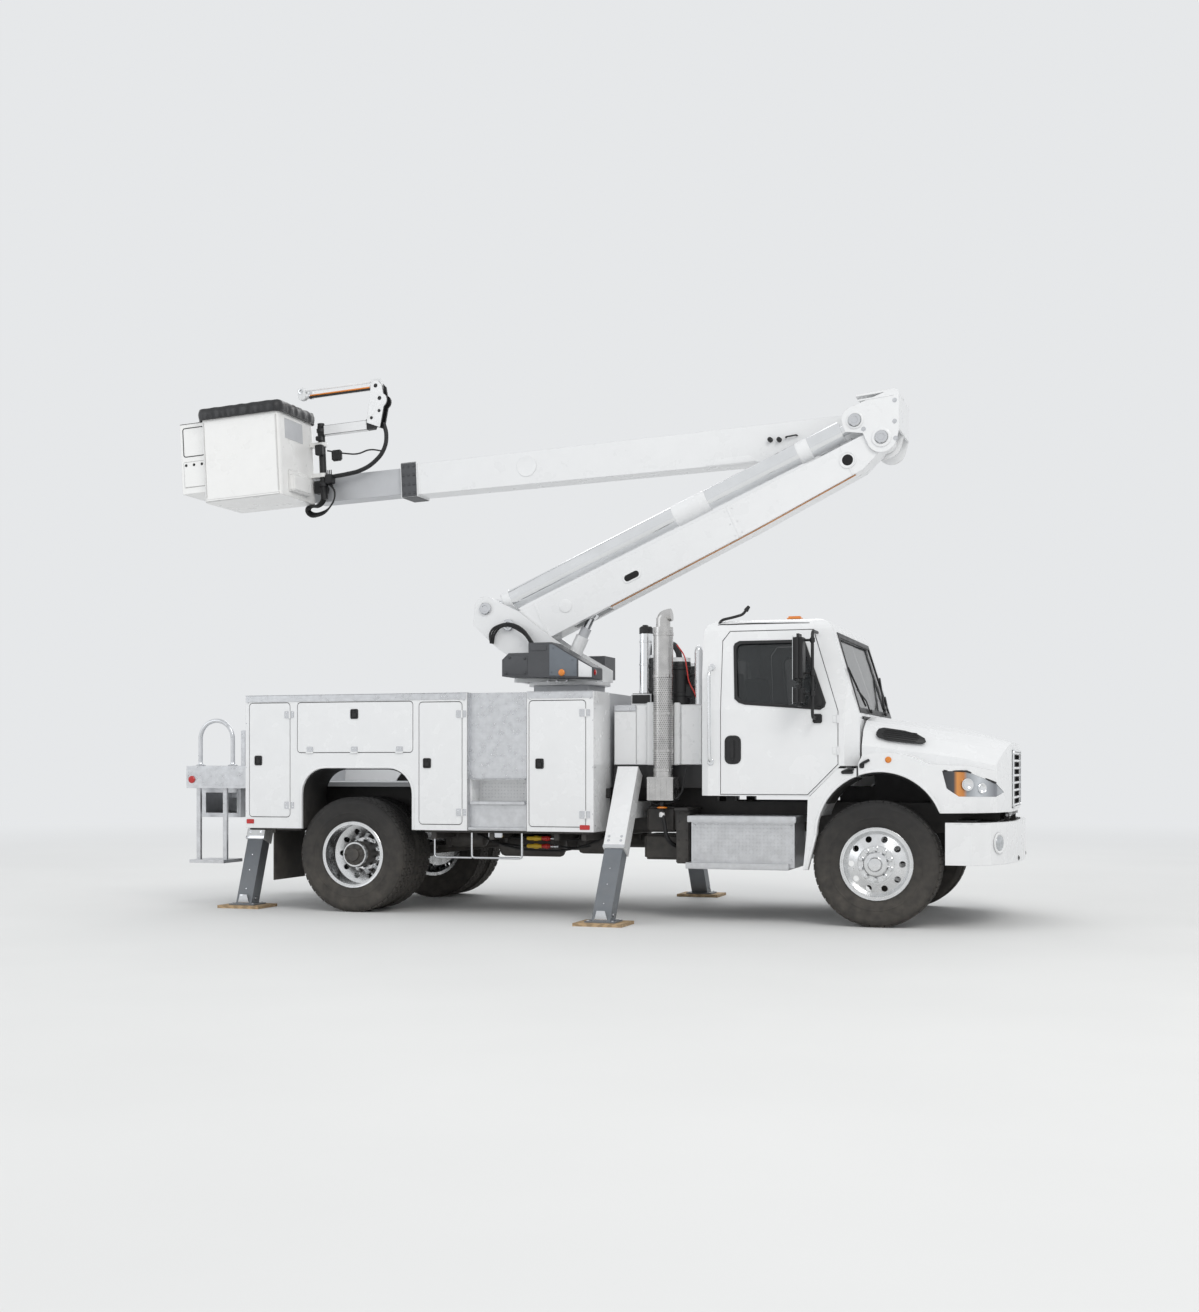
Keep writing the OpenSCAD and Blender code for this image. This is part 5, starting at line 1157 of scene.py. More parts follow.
for z in (1.89, 2.05):
    cleaners.rod(at(2.77, -0.70, z), at(2.83, -0.72, z), 0.022, 14, edge=0.004)
cleaners.pipe([at(2.70, -0.64, 2.27), at(2.72, -0.60, 2.36), at(2.80, -0.58, 2.38),
               at(2.87, -0.62, 2.32), at(2.90, -0.66, 2.24)], 0.028, 14)
cleaners.pipe([at(2.99, -0.68, 2.0), at(3.03, -0.72, 2.1), at(3.10, -0.70, 2.02),
               at(3.12, -0.66, 1.9), at(3.13, -0.62, 1.83)], 0.014)
cleaners.pipe([at(2.96, -0.70, 2.12), at(3.02, -0.74, 2.06), at(3.04, -0.74, 1.94),
               at(3.06, -0.76, 1.85)], 0.010)
cleaners.done(plastic, "chassis", "trim_plastic")
wire = Maker("red_lead")
wire.pipe([at(2.90, -0.75, 2.36), at(2.97, -0.765, 2.26), at(2.99, -0.76, 2.16),
           at(3.01, -0.755, 2.04), at(3.07, -0.765, 1.92), at(3.09, -0.77, 1.83)], 0.006, 8)
wire.done(red_cap, "chassis", "trim_plastic")

# %% Riveted panels
panels = Maker("riveted_panels")
PY = -0.792
panels.block(at(2.347, PY + 0.001, 1.322), at(2.545, PY - 0.004, 1.785), 0.002)
panels.block(at(2.55, PY + 0.001, 1.322), at(2.645, PY - 0.007, 1.835), 0.002)
panels.block(at(2.655, PY + 0.001, 1.318), at(2.722, PY - 0.05, 1.862), 0.006)
panels.block(at(2.895, PY + 0.001, 1.318), at(2.945, PY - 0.045, 1.856), 0.006)
panels.block(at(2.95, PY + 0.001, 1.322), at(3.133, PY - 0.005, 1.835), 0.003)
panels.bolts([at(x, PY - 0.007, z) for x in (2.565, 2.63) for z in (1.35, 1.44, 1.56, 1.68, 1.81)],
             (0, -1, 0), 0.006, 0.004, False)
panels.bolts([at(x, PY - 0.005, z) for x in (2.97, 3.06, 3.118) for z in (1.36, 1.52, 1.66, 1.80)],
             (0, -1, 0), 0.006, 0.004, False)
panels.done(white_high, "chassis", "white_paint", both=True)
strip = Maker("panel_tread_strip")
strip.block(at(2.347, PY + 0.001, 1.788), at(2.545, PY - 0.007, 1.842), 0.003)
tread(strip, at(2.35, PY - 0.0072, 1.792), (0.19, 0, 0), (0, 0, 0.05), 0.024)
strip.done(treaded, "chassis", "tread_plate", both=True)
side_skins = Maker("body_front_rivets")
side_skins.bolts([at(2.289, y, z) for y in (-1.17, -0.77) for z in (0.8, 1.05, 1.3, 1.55, 1.8)],
                 (1, 0, 0), 0.006, 0.004, False)
side_skins.bolts([at(-1.063, y, z) for y in (-1.17, -0.77) for z in (0.8, 1.05, 1.3, 1.55, 1.8)],
                 (-1, 0, 0), 0.006, 0.004, False)
side_skins.done(rod_steel, "chassis", "rod_steel", both=True)

# %% [markdown]
# ## Under the body
# A truck's underside is busy: air tanks, brackets, hoses with coloured quick couplers, a wire step
# and mudflaps. None of it moves by itself, so it all rides on the chassis.

# %% Underbody
under = Maker("underbody_tanks")
for x0, x1, y, z, r in ((0.72, 1.08, -0.60, 0.66, 0.085), (1.20, 1.82, -0.585, 0.60, 0.105),
                        (1.95, 2.28, -0.60, 0.62, 0.09)):
    under.turn([(0, 0), (r * 0.6, 0.006), (r * 0.92, 0.025), (r, 0.05), (r, x1 - x0 - 0.05),
                (r * 0.92, x1 - x0 - 0.025),
                (r * 0.6, x1 - x0 - 0.006), (0, x1 - x0)], facing(at(x0, y, z), (1, 0, 0)), 32)
    for x in (x0 + 0.08, x1 - 0.1):
        under.block(at(x, y - r - 0.005, z - 0.02), at(x + 0.03, y + 0.12, z + r + 0.05), 0.004)
under.block(at(0.70, -1.15, 0.725), at(2.25, -0.5, 0.746), 0.006)
under.block(at(-1.05, -1.15, 0.725), at(-0.52, -0.5, 0.746), 0.006)
for x in (0.75, 1.3, 1.9, 2.15):
    under.block(at(x, -1.12, 0.665), at(x + 0.05, -0.44, 0.728), 0.005)
under.block(at(2.955, -0.98, 0.48), at(3.07, -0.62, 0.94), 0.008)
under.bolts([at(x, -0.98, z) for x in (2.98, 3.045) for z in (0.52, 0.6, 0.68, 0.76, 0.84, 0.91)],
            (0, -1, 0), 0.007, 0.005)
under.block(at(2.62, -0.80, 0.50), at(2.94, -0.46, 0.72), 0.02, 3)
under.block(at(2.66, -0.86, 0.74), at(2.92, -0.46, 0.96), 0.02, 3)
under.block(at(2.19, -0.86, 1.03), at(2.33, -0.44, 1.115), 0.008)
under.bolts([at(2.25, -0.86, z) for z in (1.05, 1.095)], (0, -1, 0), 0.007, 0.006)
under.block(at(-0.80, -1.16, 0.27), at(-0.79, -0.57, 0.73), 0.003)
under.block(at(-0.815, -1.16, 0.70), at(-0.775, -0.57, 0.745), 0.004)
under.block(at(2.96, -1.16 + 0.1, 0.93), at(3.08, -0.57, 0.955), 0.004)
under.done(black, "chassis", "black_paint", both=True)
lines = Maker("underbody_hoses")
lines.pipe([at(SX, SY - 0.03, 1.0), at(SX, SY - 0.035, 0.93), at(SX + 0.02, SY - 0.04, 0.82),
            at(SX + 0.05, SY - 0.02, 0.68), at(2.95, -0.80, 0.6)], 0.019, 12)
lines.pipe([at(SX - 0.16, -0.87, 1.10), at(SX - 0.1, -0.9, 1.0), at(SX + 0.02, -0.92, 0.985),
            at(SX + 0.14, -0.9, 1.05), at(3.0, -0.86, 1.22), at(3.01, -0.82, 1.30)], 0.009, 8)
for z in (0.665, 0.595):
    lines.pipe([at(1.25, -0.70, z + 0.02), at(1.42, -0.71, z), at(1.50, -0.71, z)], 0.009, 8)
    lines.pipe([at(1.80, -0.71, z), at(1.98, -0.70, z - 0.01), at(2.2, -0.66, z + 0.03)], 0.009, 8)
lines.pipe([at(0.95, -0.66, 0.72), at(1.3, -0.74, 0.60), at(1.6, -0.76, 0.56), at(2.0, -0.74, 0.59),
            at(2.35, -0.66, 0.75)], 0.011, 8)
lines.done(hose_black, "chassis", "trim_plastic")
for name, mat, x0, x1 in (("yellow_couplers", yellow_cap, 1.50, 1.64),
                          ("red_couplers", red_cap, 1.64, 1.72),
                          ("steel_couplers", rod_steel, 1.72, 1.80)):
    coupler = Maker(name)
    for z in (0.665, 0.595):
        r = 0.019 if "steel" not in name else 0.012
        coupler.turn([(0, 0), (r * 0.8, 0.003), (r, 0.012), (r, (x1 - x0) * 0.45),
                      (r * 1.25, (x1 - x0) * 0.5), (r * 1.25, (x1 - x0) * 0.75),
                      (r, (x1 - x0) * 0.8), (r * 0.9, x1 - x0), (0, x1 - x0)],
                     facing(at(x0, -0.71, z), (1, 0, 0)), 16)
    coupler.done(mat, "chassis", "trim_plastic")
ring_fit = Maker("white_hose_fitting")
ring_fit.turn([(0.014, 0), (0.026, 0.004), (0.026, 0.03), (0.02, 0.045), (0, 0.046)],
              facing(at(SX, SY - 0.036, 0.87), (0, 0, 1)), 6)
ring_fit.done(white_high, "chassis", "trim_plastic")
ring_fit = Maker("orange_hose_ring")
ring_fit.turn([(0.022, 0), (0.045, 0.004), (0.045, 0.014), (0.022, 0.02)],
              facing(at(SX, SY - 0.034, 0.945), (0, 0, 1)), 24)
ring_fit.done(amber_lens, "chassis", "trim_plastic")
rods = Maker("wire_steps")
rods.bent([at(1.13, -1.10, 0.745), at(1.13, -1.10, 0.505), at(1.60, -1.10, 0.505),
           at(1.60, -1.10, 0.745)], 0.0105, 0.03)
rods.bent([at(0.74, -1.02, 0.745), at(0.74, -1.02, 0.50), at(1.09, -1.02, 0.50)], 0.0105, 0.03)
rods.block(at(1.29, -1.115, 0.685), at(1.42, -1.08, 0.745), 0.006)
rods.done(rod_steel, "chassis", "rod_steel", both=True)

# %% [markdown]
# ## Outriggers
# Painted box legs slide in box sleeves. What shows the joint is small: wear strips at the sleeve's
# mouth, clamp bolts, and the swivel under the leg that lets its foot plate sit flat.

# %% Outrigger fittings
FOOT_TOP = 0.0383
for leg, fx, fy, lean, top in (("front", 2.510, 1.610, 31.5, 0.640),
                               ("rear", -1.168, 0.985, 20.0, 0.600)):
    spin = Matrix.Translation(at(fx, -fy, FOOT_TOP)) @ Matrix.Rotation(radians(-lean), 4, "X")
    sleeve = Maker(f"{leg}_sleeve_bolts")
    for u in (-0.055, 0.055):
        for w in (top + 0.07, top + 0.11):
            sleeve.bolts([spin @ Vector((u, -0.0775, w))], spin.to_3x3() @ Vector((0, -1, 0)),
                         0.008, 0.006)
    sleeve.block((-0.096, -0.081, top + 0.004), (0.096, -0.077, top + 0.03), 0.001, 1, spin)
    sleeve.done(rod_steel, "chassis", "rod_steel", both=True)
    foot = Maker(f"{leg}_foot_swivel")
    for w in (-0.07, 0.07):
        foot.plate([(-0.06, 0), (0.06, 0), (0.035, 0.085), (-0.035, 0.085)], 0.012,
                   Matrix.Translation(at(fx, -fy + w, FOOT_TOP)) @ OUT)
    foot.rod(at(fx - 0.092, -fy, 0.085), at(fx + 0.092, -fy, 0.085), 0.016, 18, edge=0.003)
    foot.bolts([at(fx + sx * 0.105, -fy + sy * 0.085, FOOT_TOP)
                for sx in (-1, 1) for sy in (-1, 1)], (0, 0, 1), 0.01, 0.008)
    for w in (0.12, 0.30, 0.45):
        foot.bolts([spin @ Vector((0, -0.065, w))], spin.to_3x3() @ Vector((0, -1, 0)), 0.006,
                   0.004, False)
    foot.done(rod_steel, leg + "_leg_{side}_body", "rod_steel", sides=True)

# %% [markdown]
# ## Tail
# The tail shelf is tread plate all over, with a round red lamp at each corner.

# %% Tail fittings
tail = Maker("tail_tread")
tread(tail, at(-1.713, -1.1505, 1.115), (0.643, 0, 0), (0, 0, 0.185), 0.03)
tread(tail, at(-1.705, -1.14, 1.3102), (0.62, 0, 0), (0, 2.28, 0), 0.036)
tread(tail, at(-1.7135, 1.14, 1.12), (0, -2.28, 0), (0, 0, 0.18), 0.036)
tail.done(treaded, "chassis", "tread_plate")
lamps = Maker("tail_lamps")
lamps.turn([(0.034, 0), (0.034, 0.008), (0.028, 0.014), (0, 0.017)],
           facing(at(-1.655, -1.150, 1.185), (0, -1, 0)), 28)
for y in (-0.95, -0.8, -0.62):
    lamps.turn([(0.052, 0), (0.052, 0.006), (0.045, 0.01), (0, 0.012)],
               facing(at(-1.7125, y, 1.21), (-1, 0, 0)), 28)
lamps.done(red_lens, "chassis", "lamp_lens", both=True)
knobs = Maker("handle_feet")
for x in (-1.60, -1.26):
    knobs.turn([(0.02, 0), (0.045, 0.002), (0.045, 0.008), (0.024, 0.018), (0.0205, 0.03)],
               facing(at(x, -1.090, 1.311), (0, 0, 1)), 20)
knobs.done(rod_steel, "chassis", "rod_steel", both=True)

# %% [markdown]
# ## Turret and booms
# Each boom has a tilted frame of its own, the same as in the CAD: along the boom, across it and up
# from it. Fittings are then given in a boom's own directions, which keeps the numbers simple.

# %% Boom frames
def tilted(x, z, degrees):
    return Matrix.Translation(at(x, 0, z)) @ Matrix.Rotation(radians(degrees), 4, "Y")


lower = tilted(1.175, 2.609, -24)
link = tilted(0.945, 2.769, -24)
upper = tilted(4.520, 4.260, 180 - 2.4) @ Matrix.Scale(-1, 4, (0, 0, 1))
pail = tilted(-0.90524, 4.0326, -3)


def face(base, y):
    """Outlines as (along, up) on the plane y of a tilted frame, facing the truck's right."""
    return base @ Matrix.Translation((0, y, 0)) @ OUT


def disc(maker, base, x, y, z, line, sides=32, way=-1):
    maker.turn(line, base @ facing((x, y, z), (0, way, 0)), sides)


CAP = [(0.055, -0.004), (0.055, 0.008), (0.049, 0.014), (0.03, 0.014), (0.026, 0.010), (0, 0.010)]
print("boom frames set")

# %% Turret
grill = Maker("turret_slots")
grill.plate(rounded(1.495, 1.655, 2.345, 2.40, 0.012), 0.008, side_face(-0.6203), edge=0.003)
grill.plate([(1.245, 2.135), (1.47, 2.128), (1.47, 2.30), (1.30, 2.312), (1.245, 2.262)], 0.008,
            side_face(-0.6203), edge=0.004)
grill.bolts([at(x, -0.628, z) for x,
             z in ((1.265, 2.15), (1.45, 2.15), (1.45, 2.28), (1.30, 2.29))], (0, -1, 0), 0.008,
             0.006)
grill.done(charcoal, "turret_body", "cover_grey")
skin = Maker("turret_panels")
skin.plate([(1.68, 2.12), (1.94, 2.11), (1.94, 2.265), (1.845, 2.318), (1.71, 2.40), (1.68, 2.40)],
           0.006,
           side_face(-0.6203), edge=0.004)
skin.bolts([at(x, -0.626, z) for x, z in ((1.70, 2.15), (1.92, 2.15), (1.72, 2.37), (1.90, 2.26))],
           (0, -1, 0), 0.007, 0.005, False)
skin.done(grey, "turret_body", "cover_grey")
skin = Maker("turret_end_cap")
skin.plate([(1.955, 2.105), (2.082, 2.10), (2.082, 2.185), (1.955, 2.255)], 0.010,
           side_face(-0.6203), edge=0.006)
skin.done(white_high, "turret_body", "white_paint")
signal = Maker("turret_amber_lamp")
signal.turn([(0.03, 0), (0.03, 0.008), (0.022, 0.014), (0, 0.016)],
            facing(at(1.80, -0.6265, 2.145), (0, -1, 0)), 24)
signal.done(amber_lens, "turret_body", "lamp_lens")
signal = Maker("turret_red_lamp")
signal.turn([(0.026, 0), (0.026, 0.006), (0.018, 0.011), (0, 0.012)],
            facing(at(2.09, -0.56, 2.145), (1, 0, 0)), 24)
signal.done(red_lens, "turret_body", "lamp_lens")
studs = Maker("turret_studs")
nut_places = [at(1.66 + 0.352 * cos(2 * pi * k / 24), 0.352 * sin(2 * pi * k / 24),
                 2.082) for k in range(24)]
studs.bolts([p for p in nut_places if p.y > -0.29 or p.y < -0.335], (0, 0, 1), 0.012, 0.012)
disc(studs, tilted(1.175, 2.609, 0), 0, -0.3385, 0, CAP)
disc(studs, tilted(0.945, 2.769, 0), 0, -0.3325, 0, CAP)
studs.bolts([at(1.175 + 0.04 * cos(a), -0.352, 2.609 + 0.04 * sin(a)) for a in (0.5, 2.6, 4.7)],
            (0, -1, 0), 0.007, 0.006)
studs.done(rod_steel, "turret_body", "rod_steel")
column = Maker("pedestal_lines")
for y, way in ((-0.2605, -1), (0.2605, 1)):
    for x in (1.545, 1.755):
        column.block(at(x, y, 1.34), at(x + 0.016, y + 0.006 * way, 2.0), 0.002)
column.done(plastic, "chassis", "trim_plastic")
plumbing = Maker("turret_hoses")
for k in range(3):
    y = -0.345 - 0.024 * k
    plumbing.pipe([at(1.42 + 0.03 * k, y, 2.34), at(1.38 + 0.02 * k, y - 0.01, 2.47),
                   at(1.28, y - 0.012, 2.56 + 0.02 * k),
                   at(1.14 - 0.02 * k, y - 0.01, 2.60), at(1.05 - 0.015 * k, y + 0.004, 2.54),
                   at(1.02, y + 0.01, 2.44)], 0.010, 10)
plumbing.done(hose_black, "turret_body", "trim_plastic")

# %% Lower boom and levelling link
boom = Maker("lower_boom_details")
for u, low_w, high_w in ((2.285, -0.220, 0.076), (0.30, -0.262, 0.076), (3.40, -0.172, 0.094)):
    boom.plate([(u - 0.011, low_w), (u + 0.011, low_w), (u + 0.011, high_w), (u - 0.011, high_w)],
               0.004, face(lower, -0.292), edge=0.0015)
disc(boom, lower, 0.564, -0.292, -0.071,
     [(0.062, 0), (0.062, 0.004), (0.056, 0.006), (0.02, 0.006), (0, 0.005)])
disc(boom, lower, 3.409, -0.292, -0.039,
     [(0.075, 0), (0.075, 0.006), (0.066, 0.008), (0.06, 0.003), (0.02, 0.002), (0, 0.002)])
boom.plate(rounded(1.15, 1.336, -0.145, -0.052, 0.044), 0.007, face(lower, -0.292),
           holes=[rounded(1.17, 1.316, -0.128, -0.069, 0.028)], edge=0.002)
boom.bolts([lower @ Vector((u, -0.292, w)) for u in (2.25, 2.32) for w in (-0.19, -0.08, 0.045)],
           (0, -1, 0), 0.007, 0.005, False)
boom.done(white_high, "lower_boom_body", "white_paint")
# black fill: painted shade for the dark inside the oval port and in the middle of the round boss near
# the boom's tip
port = Maker("lower_boom_port_shade")
port.plate(rounded(1.169, 1.317, -0.129, -0.068, 0.029), 0.002, face(lower, -0.292))
disc(port, lower, 3.409, -0.2935, -0.039, [(0.052, 0), (0.052, 0.0012), (0, 0.0014)])
port.done(liner_and_hole_shade, "lower_boom_body", "trim_plastic")
brake_line = Maker("lower_boom_line")
brake_line.pipe([lower @ Vector(p) for p in ((0.95, -0.275, -0.262), (1.6, -0.275, -0.248),
                                             (2.42, -0.275, -0.229), (3.0, -0.275, -0.204),
                                             (3.42, -0.275, -0.185))], 0.006, 8)
brake_line.done(rust_line, "lower_boom_body", "rod_steel")
sleeve = Maker("link_sleeves")
for u0, u1, r in ((1.948, 2.281, 0.0985), (3.18, 3.295, 0.099), (0.155, 0.235, 0.0985)):
    sleeve.turn([(0.0955, u0), (r, u0 + 0.004), (r, u1 - 0.004), (0.0955, u1)],
                link @ Matrix.Translation((0, -0.157, 0)) @ Matrix.Rotation(radians(90), 4, "Y"),
                48)
sleeve.done(white_high, "levelling_link_body", "white_paint")
cords = Maker("boom_hoses")
for k, r in enumerate((0.012, 0.012, 0.010, 0.015)):
    w = -0.035 + 0.03 * k
    cords.pipe([link @ Vector(p) for p in ((0.42, -0.044, w), (1.2, -0.045, w - 0.006),
                                           (2.0, -0.044, w), (2.8, -0.045, w - 0.006),
                                           (3.38, -0.044, w))], r, 8)
for u in (0.6, 1.35, 2.1, 2.85, 3.3):
    cords.block((u, -0.066, -0.054), (u + 0.03, -0.026, 0.077), 0.004, 2, link)
cords.done(hose_black, "levelling_link_body", "trim_plastic")

# %% Elbow
pins = Maker("elbow_pins")
level = tilted(0, 0, 0)
disc(pins, level, 4.6017, -0.334, 4.1347, CAP)
disc(pins, level, 4.3717, -0.334, 4.2947, CAP)
for x, z in ((4.714, 4.445), (4.714, 4.265), (4.722, 4.119), (4.448, 4.214)):
    pins.bolts([at(x, -0.320, z)], (0, -1, 0), 0.013, 0.010)
disc(pins, level, 4.520, 0.334, 4.260, CAP, way=1)
pins.bolts([at(4.6017 + 0.04 * cos(a), -0.348, 4.1347 + 0.04 * sin(a)) for a in (0.4, 2.5, 4.6)],
           (0, -1, 0), 0.007, 0.005)
pins.done(rod_steel, "elbow_body", "rod_steel")
rim = Maker("elbow_boss")
for x, z, r in ((4.6017, 4.1347, 0.085), (4.3717, 4.2947, 0.075)):
    disc(rim, level, x, -0.320, z,
         [(r, 0), (r, 0.008), (r - 0.006, 0.011), (0.058, 0.011), (0.056, 0.0)], 40)
rim.plate([(4.40, 4.470), (4.70, 4.500), (4.70, 4.485), (4.40, 4.455)], 0.006, side_face(-0.320),
          edge=0.002)
rim.done(white_high, "elbow_body", "white_paint")

# %% Upper boom
boom = Maker("upper_boom_details")
disc(boom, upper, 3.306, 0.034, 0.017,
     [(0.10, 0), (0.10, 0.004), (0.095, 0.006), (0.086, 0.003), (0.02, 0.003), (0, 0.003)], 44)
for u in (0.235, 4.40):
    boom.plate([(u, -0.146), (u + 0.02, -0.146), (u + 0.02, 0.146), (u, 0.146)], 0.004,
               face(upper, 0.034), edge=0.0015)
boom.plate([(1.09, -0.158), (1.57, -0.156), (1.52, -0.10), (1.16, -0.10)], 0.005,
           face(upper, 0.034), edge=0.002)
boom.done(white_high, "upper_boom_body", "white_paint")
knob = Maker("upper_boom_handles")
for u, w in ((0.963, 0.020), (0.881, 0.012)):
    disc(knob, upper, u, 0.034, w,
         [(0.022, 0), (0.022, 0.012), (0.016, 0.02), (0.014, 0.03), (0.02, 0.035), (0.02, 0.045),
          (0, 0.048)], 20)
knob.bent([upper @ Vector(p) for p in ((0.82, 0.034, 0.027), (0.82, -0.0, 0.027),
                                       (0.72, -0.0, 0.035), (0.72, 0.034, 0.035))], 0.007, 0.015, 8)
knob.done(plastic, "upper_boom_body", "trim_plastic")
collar = Maker("boom_collar")
collar.block((4.436, 0.0215, -0.162), (4.592, 0.018, 0.162), 0.002, 2, upper)
collar.block((4.436, 0.3065, -0.162), (4.592, 0.310, 0.162), 0.002, 2, upper)
collar.block((4.436, 0.020, 0.1655), (4.592, 0.308, 0.169), 0.002, 2, upper)
collar.block((4.436, 0.020, -0.1655), (4.592, 0.308, -0.169), 0.002, 2, upper)
collar.block((4.595, 0.026, -0.16), (4.602, 0.05, 0.16), 0.002, 2, upper)
collar.block((4.595, 0.28, -0.16), (4.602, 0.302, 0.16), 0.002, 2, upper)
for y, way in ((0.018, -1), (0.310, 1)):
    collar.bolts([upper @ Vector((u, y, w)) for u in (4.46, 4.515, 4.57) for w in (-0.13, -0.045,
            0.045, 0.13)], (0, way, 0), 0.010, 0.008)
collar.done(charcoal, "upper_boom_body", "cover_grey")

# %% [markdown]
# ## Bucket and jib
# The fibreglass bucket has a rolled lip, a moulded step and a flap on its tool pod. Its cover is
# soft vinyl with an elastic hem. A flat slab would look hard, so the cover is a thin skin: it sags
# between the rims, puckers at the hem and folds down the skirt.

# %% Bucket
shell = Maker("bucket_mouldings")
shell.block((-0.068, -0.575, -0.115), (-0.052, -0.195, 0.10), 0.008, 3, pail)
shell.block((-0.066, -0.560, -0.105), (-0.004, -0.215, 0.055), 0.012, 3, pail)
shell.block((-0.875, -0.727, -0.158), (-0.08, -0.717, -0.135), 0.004, 2, pail)
for x in (-0.868, -0.095):
    shell.block((x, -0.7265, -0.12), (x + 0.012, -0.7195, 0.60), 0.003, 2, pail)
shell.block((-1.150, -0.640, 0.02), (-0.918, -0.628, 0.27), 0.006, 3, pail)
shell.block((-1.192, -0.605, 0.02), (-1.172, -0.14, 0.27), 0.006, 3, pail)
shell.done(gel_coat, "bucket_body", "bucket_shell")
trim = Maker("pod_flap_edges")
trim.plate(rounded(-1.150, -0.915, 0.315, 0.60, 0.025), 0.006, face(pail, -0.632),
           holes=[rounded(-1.141, -0.924, 0.324, 0.591, 0.018)], edge=0.002)
trim.block((-1.1765, -0.634, 0.630), (-0.894, -0.110, 0.6405), 0.003, 2, pail)
trim.bolts([pail @ Vector((x, -0.640, 0.235)) for x in (-1.12, -1.034, -0.948)], (0, -1, 0), 0.009,
           0.006)
trim.done(plastic, "bucket_body", "trim_plastic")
label = Maker("bucket_blank_label")
label.block((-0.0625, -0.600, 0.395), (-0.0605, -0.250, 0.585), 0.0008, 1, pail)
label.done(pale_grey, "bucket_body", "cover_grey")


# %% Soft cover
def soft_cover():
    x0, x1, y0, y1 = -0.926, -0.028, -0.756, 0.012
    around, inner, skirt = 220, 18, 9
    cx, cy, r = (x0 + x1) / 2, (y0 + y1) / 2, 0.075
    hx, hy = (x1 - x0) / 2, (y1 - y0) / 2
    straight = [2 * (hx - r), 2 * (hy - r)]
    lap = 2 * sum(straight) + 2 * pi * r

    def rim(t):
        """A point and its outward direction on the rounded rectangle, t from 0 to 1."""
        d = (t % 1) * lap
        for k in range(4):
            run = straight[k % 2]
            way = k * pi / 2
            if d < run:
                side = d - run / 2
                out = Vector((sin(way), -cos(way)))
                along = Vector((cos(way), sin(way)))
                return Vector((cx, cy)) + out * (hy if k % 2 == 0 else hx) + along * side, out
            d -= run
            if d < pi * r / 2:
                turn = way - pi / 2 + d / r
                corner = Vector((cos(way), sin(way))) * ((hx if k % 2 == 0 else hy) - r) \
                    + Vector((sin(way), -cos(way))) * ((hy if k % 2 == 0 else hx) - r)
                out = Vector((cos(turn), sin(turn)))
                return Vector((cx, cy)) + corner + out * r, out
            d -= pi * r / 2
        return rim(0)

    seeds = random.Random(11)
    waves = [(seeds.randint(9, 34), seeds.uniform(0, 2 * pi),
              seeds.uniform(0.3, 1)) for _ in range(6)]

    def pucker(t):
        return sum(a * sin(2 * pi * n * t + p) for n, p, a in waves) / 3.0

    part = bmesh.new()
    rows = []
    for j in range(1, inner + 1):
        s = j / inner
        row = []
        for k in range(around):
            t = k / around
            edge, out = rim(t)
            spot = Vector((cx, cy)).lerp(edge - out * 0.012, s)
            sag = 0.020 * (1 - s ** 2.4) + 0.006 * pucker(t) * s ** 3 * (1 - s * 0.5)
            crease = 0.004 * sin(9 * spot.x + 5 * spot.y) * sin(7 * spot.y - 3 * spot.x) * (1 - s)
            row.append(part.verts.new((spot.x, spot.y, 0.731 - sag - crease)))
        rows.append(row)
    for j in range(1, skirt + 1):
        s = j / skirt
        row = []
        for k in range(around):
            t = k / around
            edge, out = rim(t)
            near_pod = edge.x < -0.885 and -0.66 < edge.y < -0.085
            bottom = 0.653 if near_pod else 0.625
            bulge = (-0.012 + 0.012 * sin(min(s * 2.2, 1) * pi / 2) - 0.010 * s ** 3
                     + 0.0045 * pucker(t) * sin(pi * s) + 0.003 * pucker(t * 2 + 0.3) * s)
            z = 0.728 + (bottom - 0.728) * s + 0.0015 * pucker(t + 0.1)
            spot = edge + out * min(bulge, 0.0015)
            row.append(part.verts.new((spot.x, spot.y, z)))
        rows.append(row)
    hub = part.verts.new((cx, cy, 0.711))
    for k in range(around):
        part.faces.new((hub, rows[0][k], rows[0][(k + 1) % around]))
        for a, b in zip(rows, rows[1:]):
            part.faces.new((a[k], b[k], b[(k + 1) % around], a[(k + 1) % around]))
    bmesh.ops.recalc_face_normals(part, faces=part.faces)
    area = sum(f.calc_area() for f in part.faces)
    bmesh.ops.solidify(part, geom=part.faces[:], thickness=0.0018)
    cover = Maker("bucket_soft_cover")
    cover.take(part, pail)
    sheet = cover.done(vinyl, "bucket_body", "cover_vinyl", smooth=80)[0]
    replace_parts(sheet, "bucket_cover")
    hem = Maker("bucket_cover_hem")
    loop = []
    for k in range(120):
        edge, out = rim(k / 120)
        near_pod = edge.x < -0.885 and -0.66 < edge.y < -0.085
        spot = edge - out * 0.010
        loop.append(pail @ Vector((spot.x, spot.y,
                                   (0.654 if near_pod else 0.627) + 0.001 * pucker(k / 120))))
    hem.pipe(loop, 0.0055, 8, closed=True, steps=1)
    hem = hem.done(vinyl, "bucket_body", "cover_vinyl")[0]
    return area


print("cover's cloth:", round(soft_cover(), 3), "square metres")

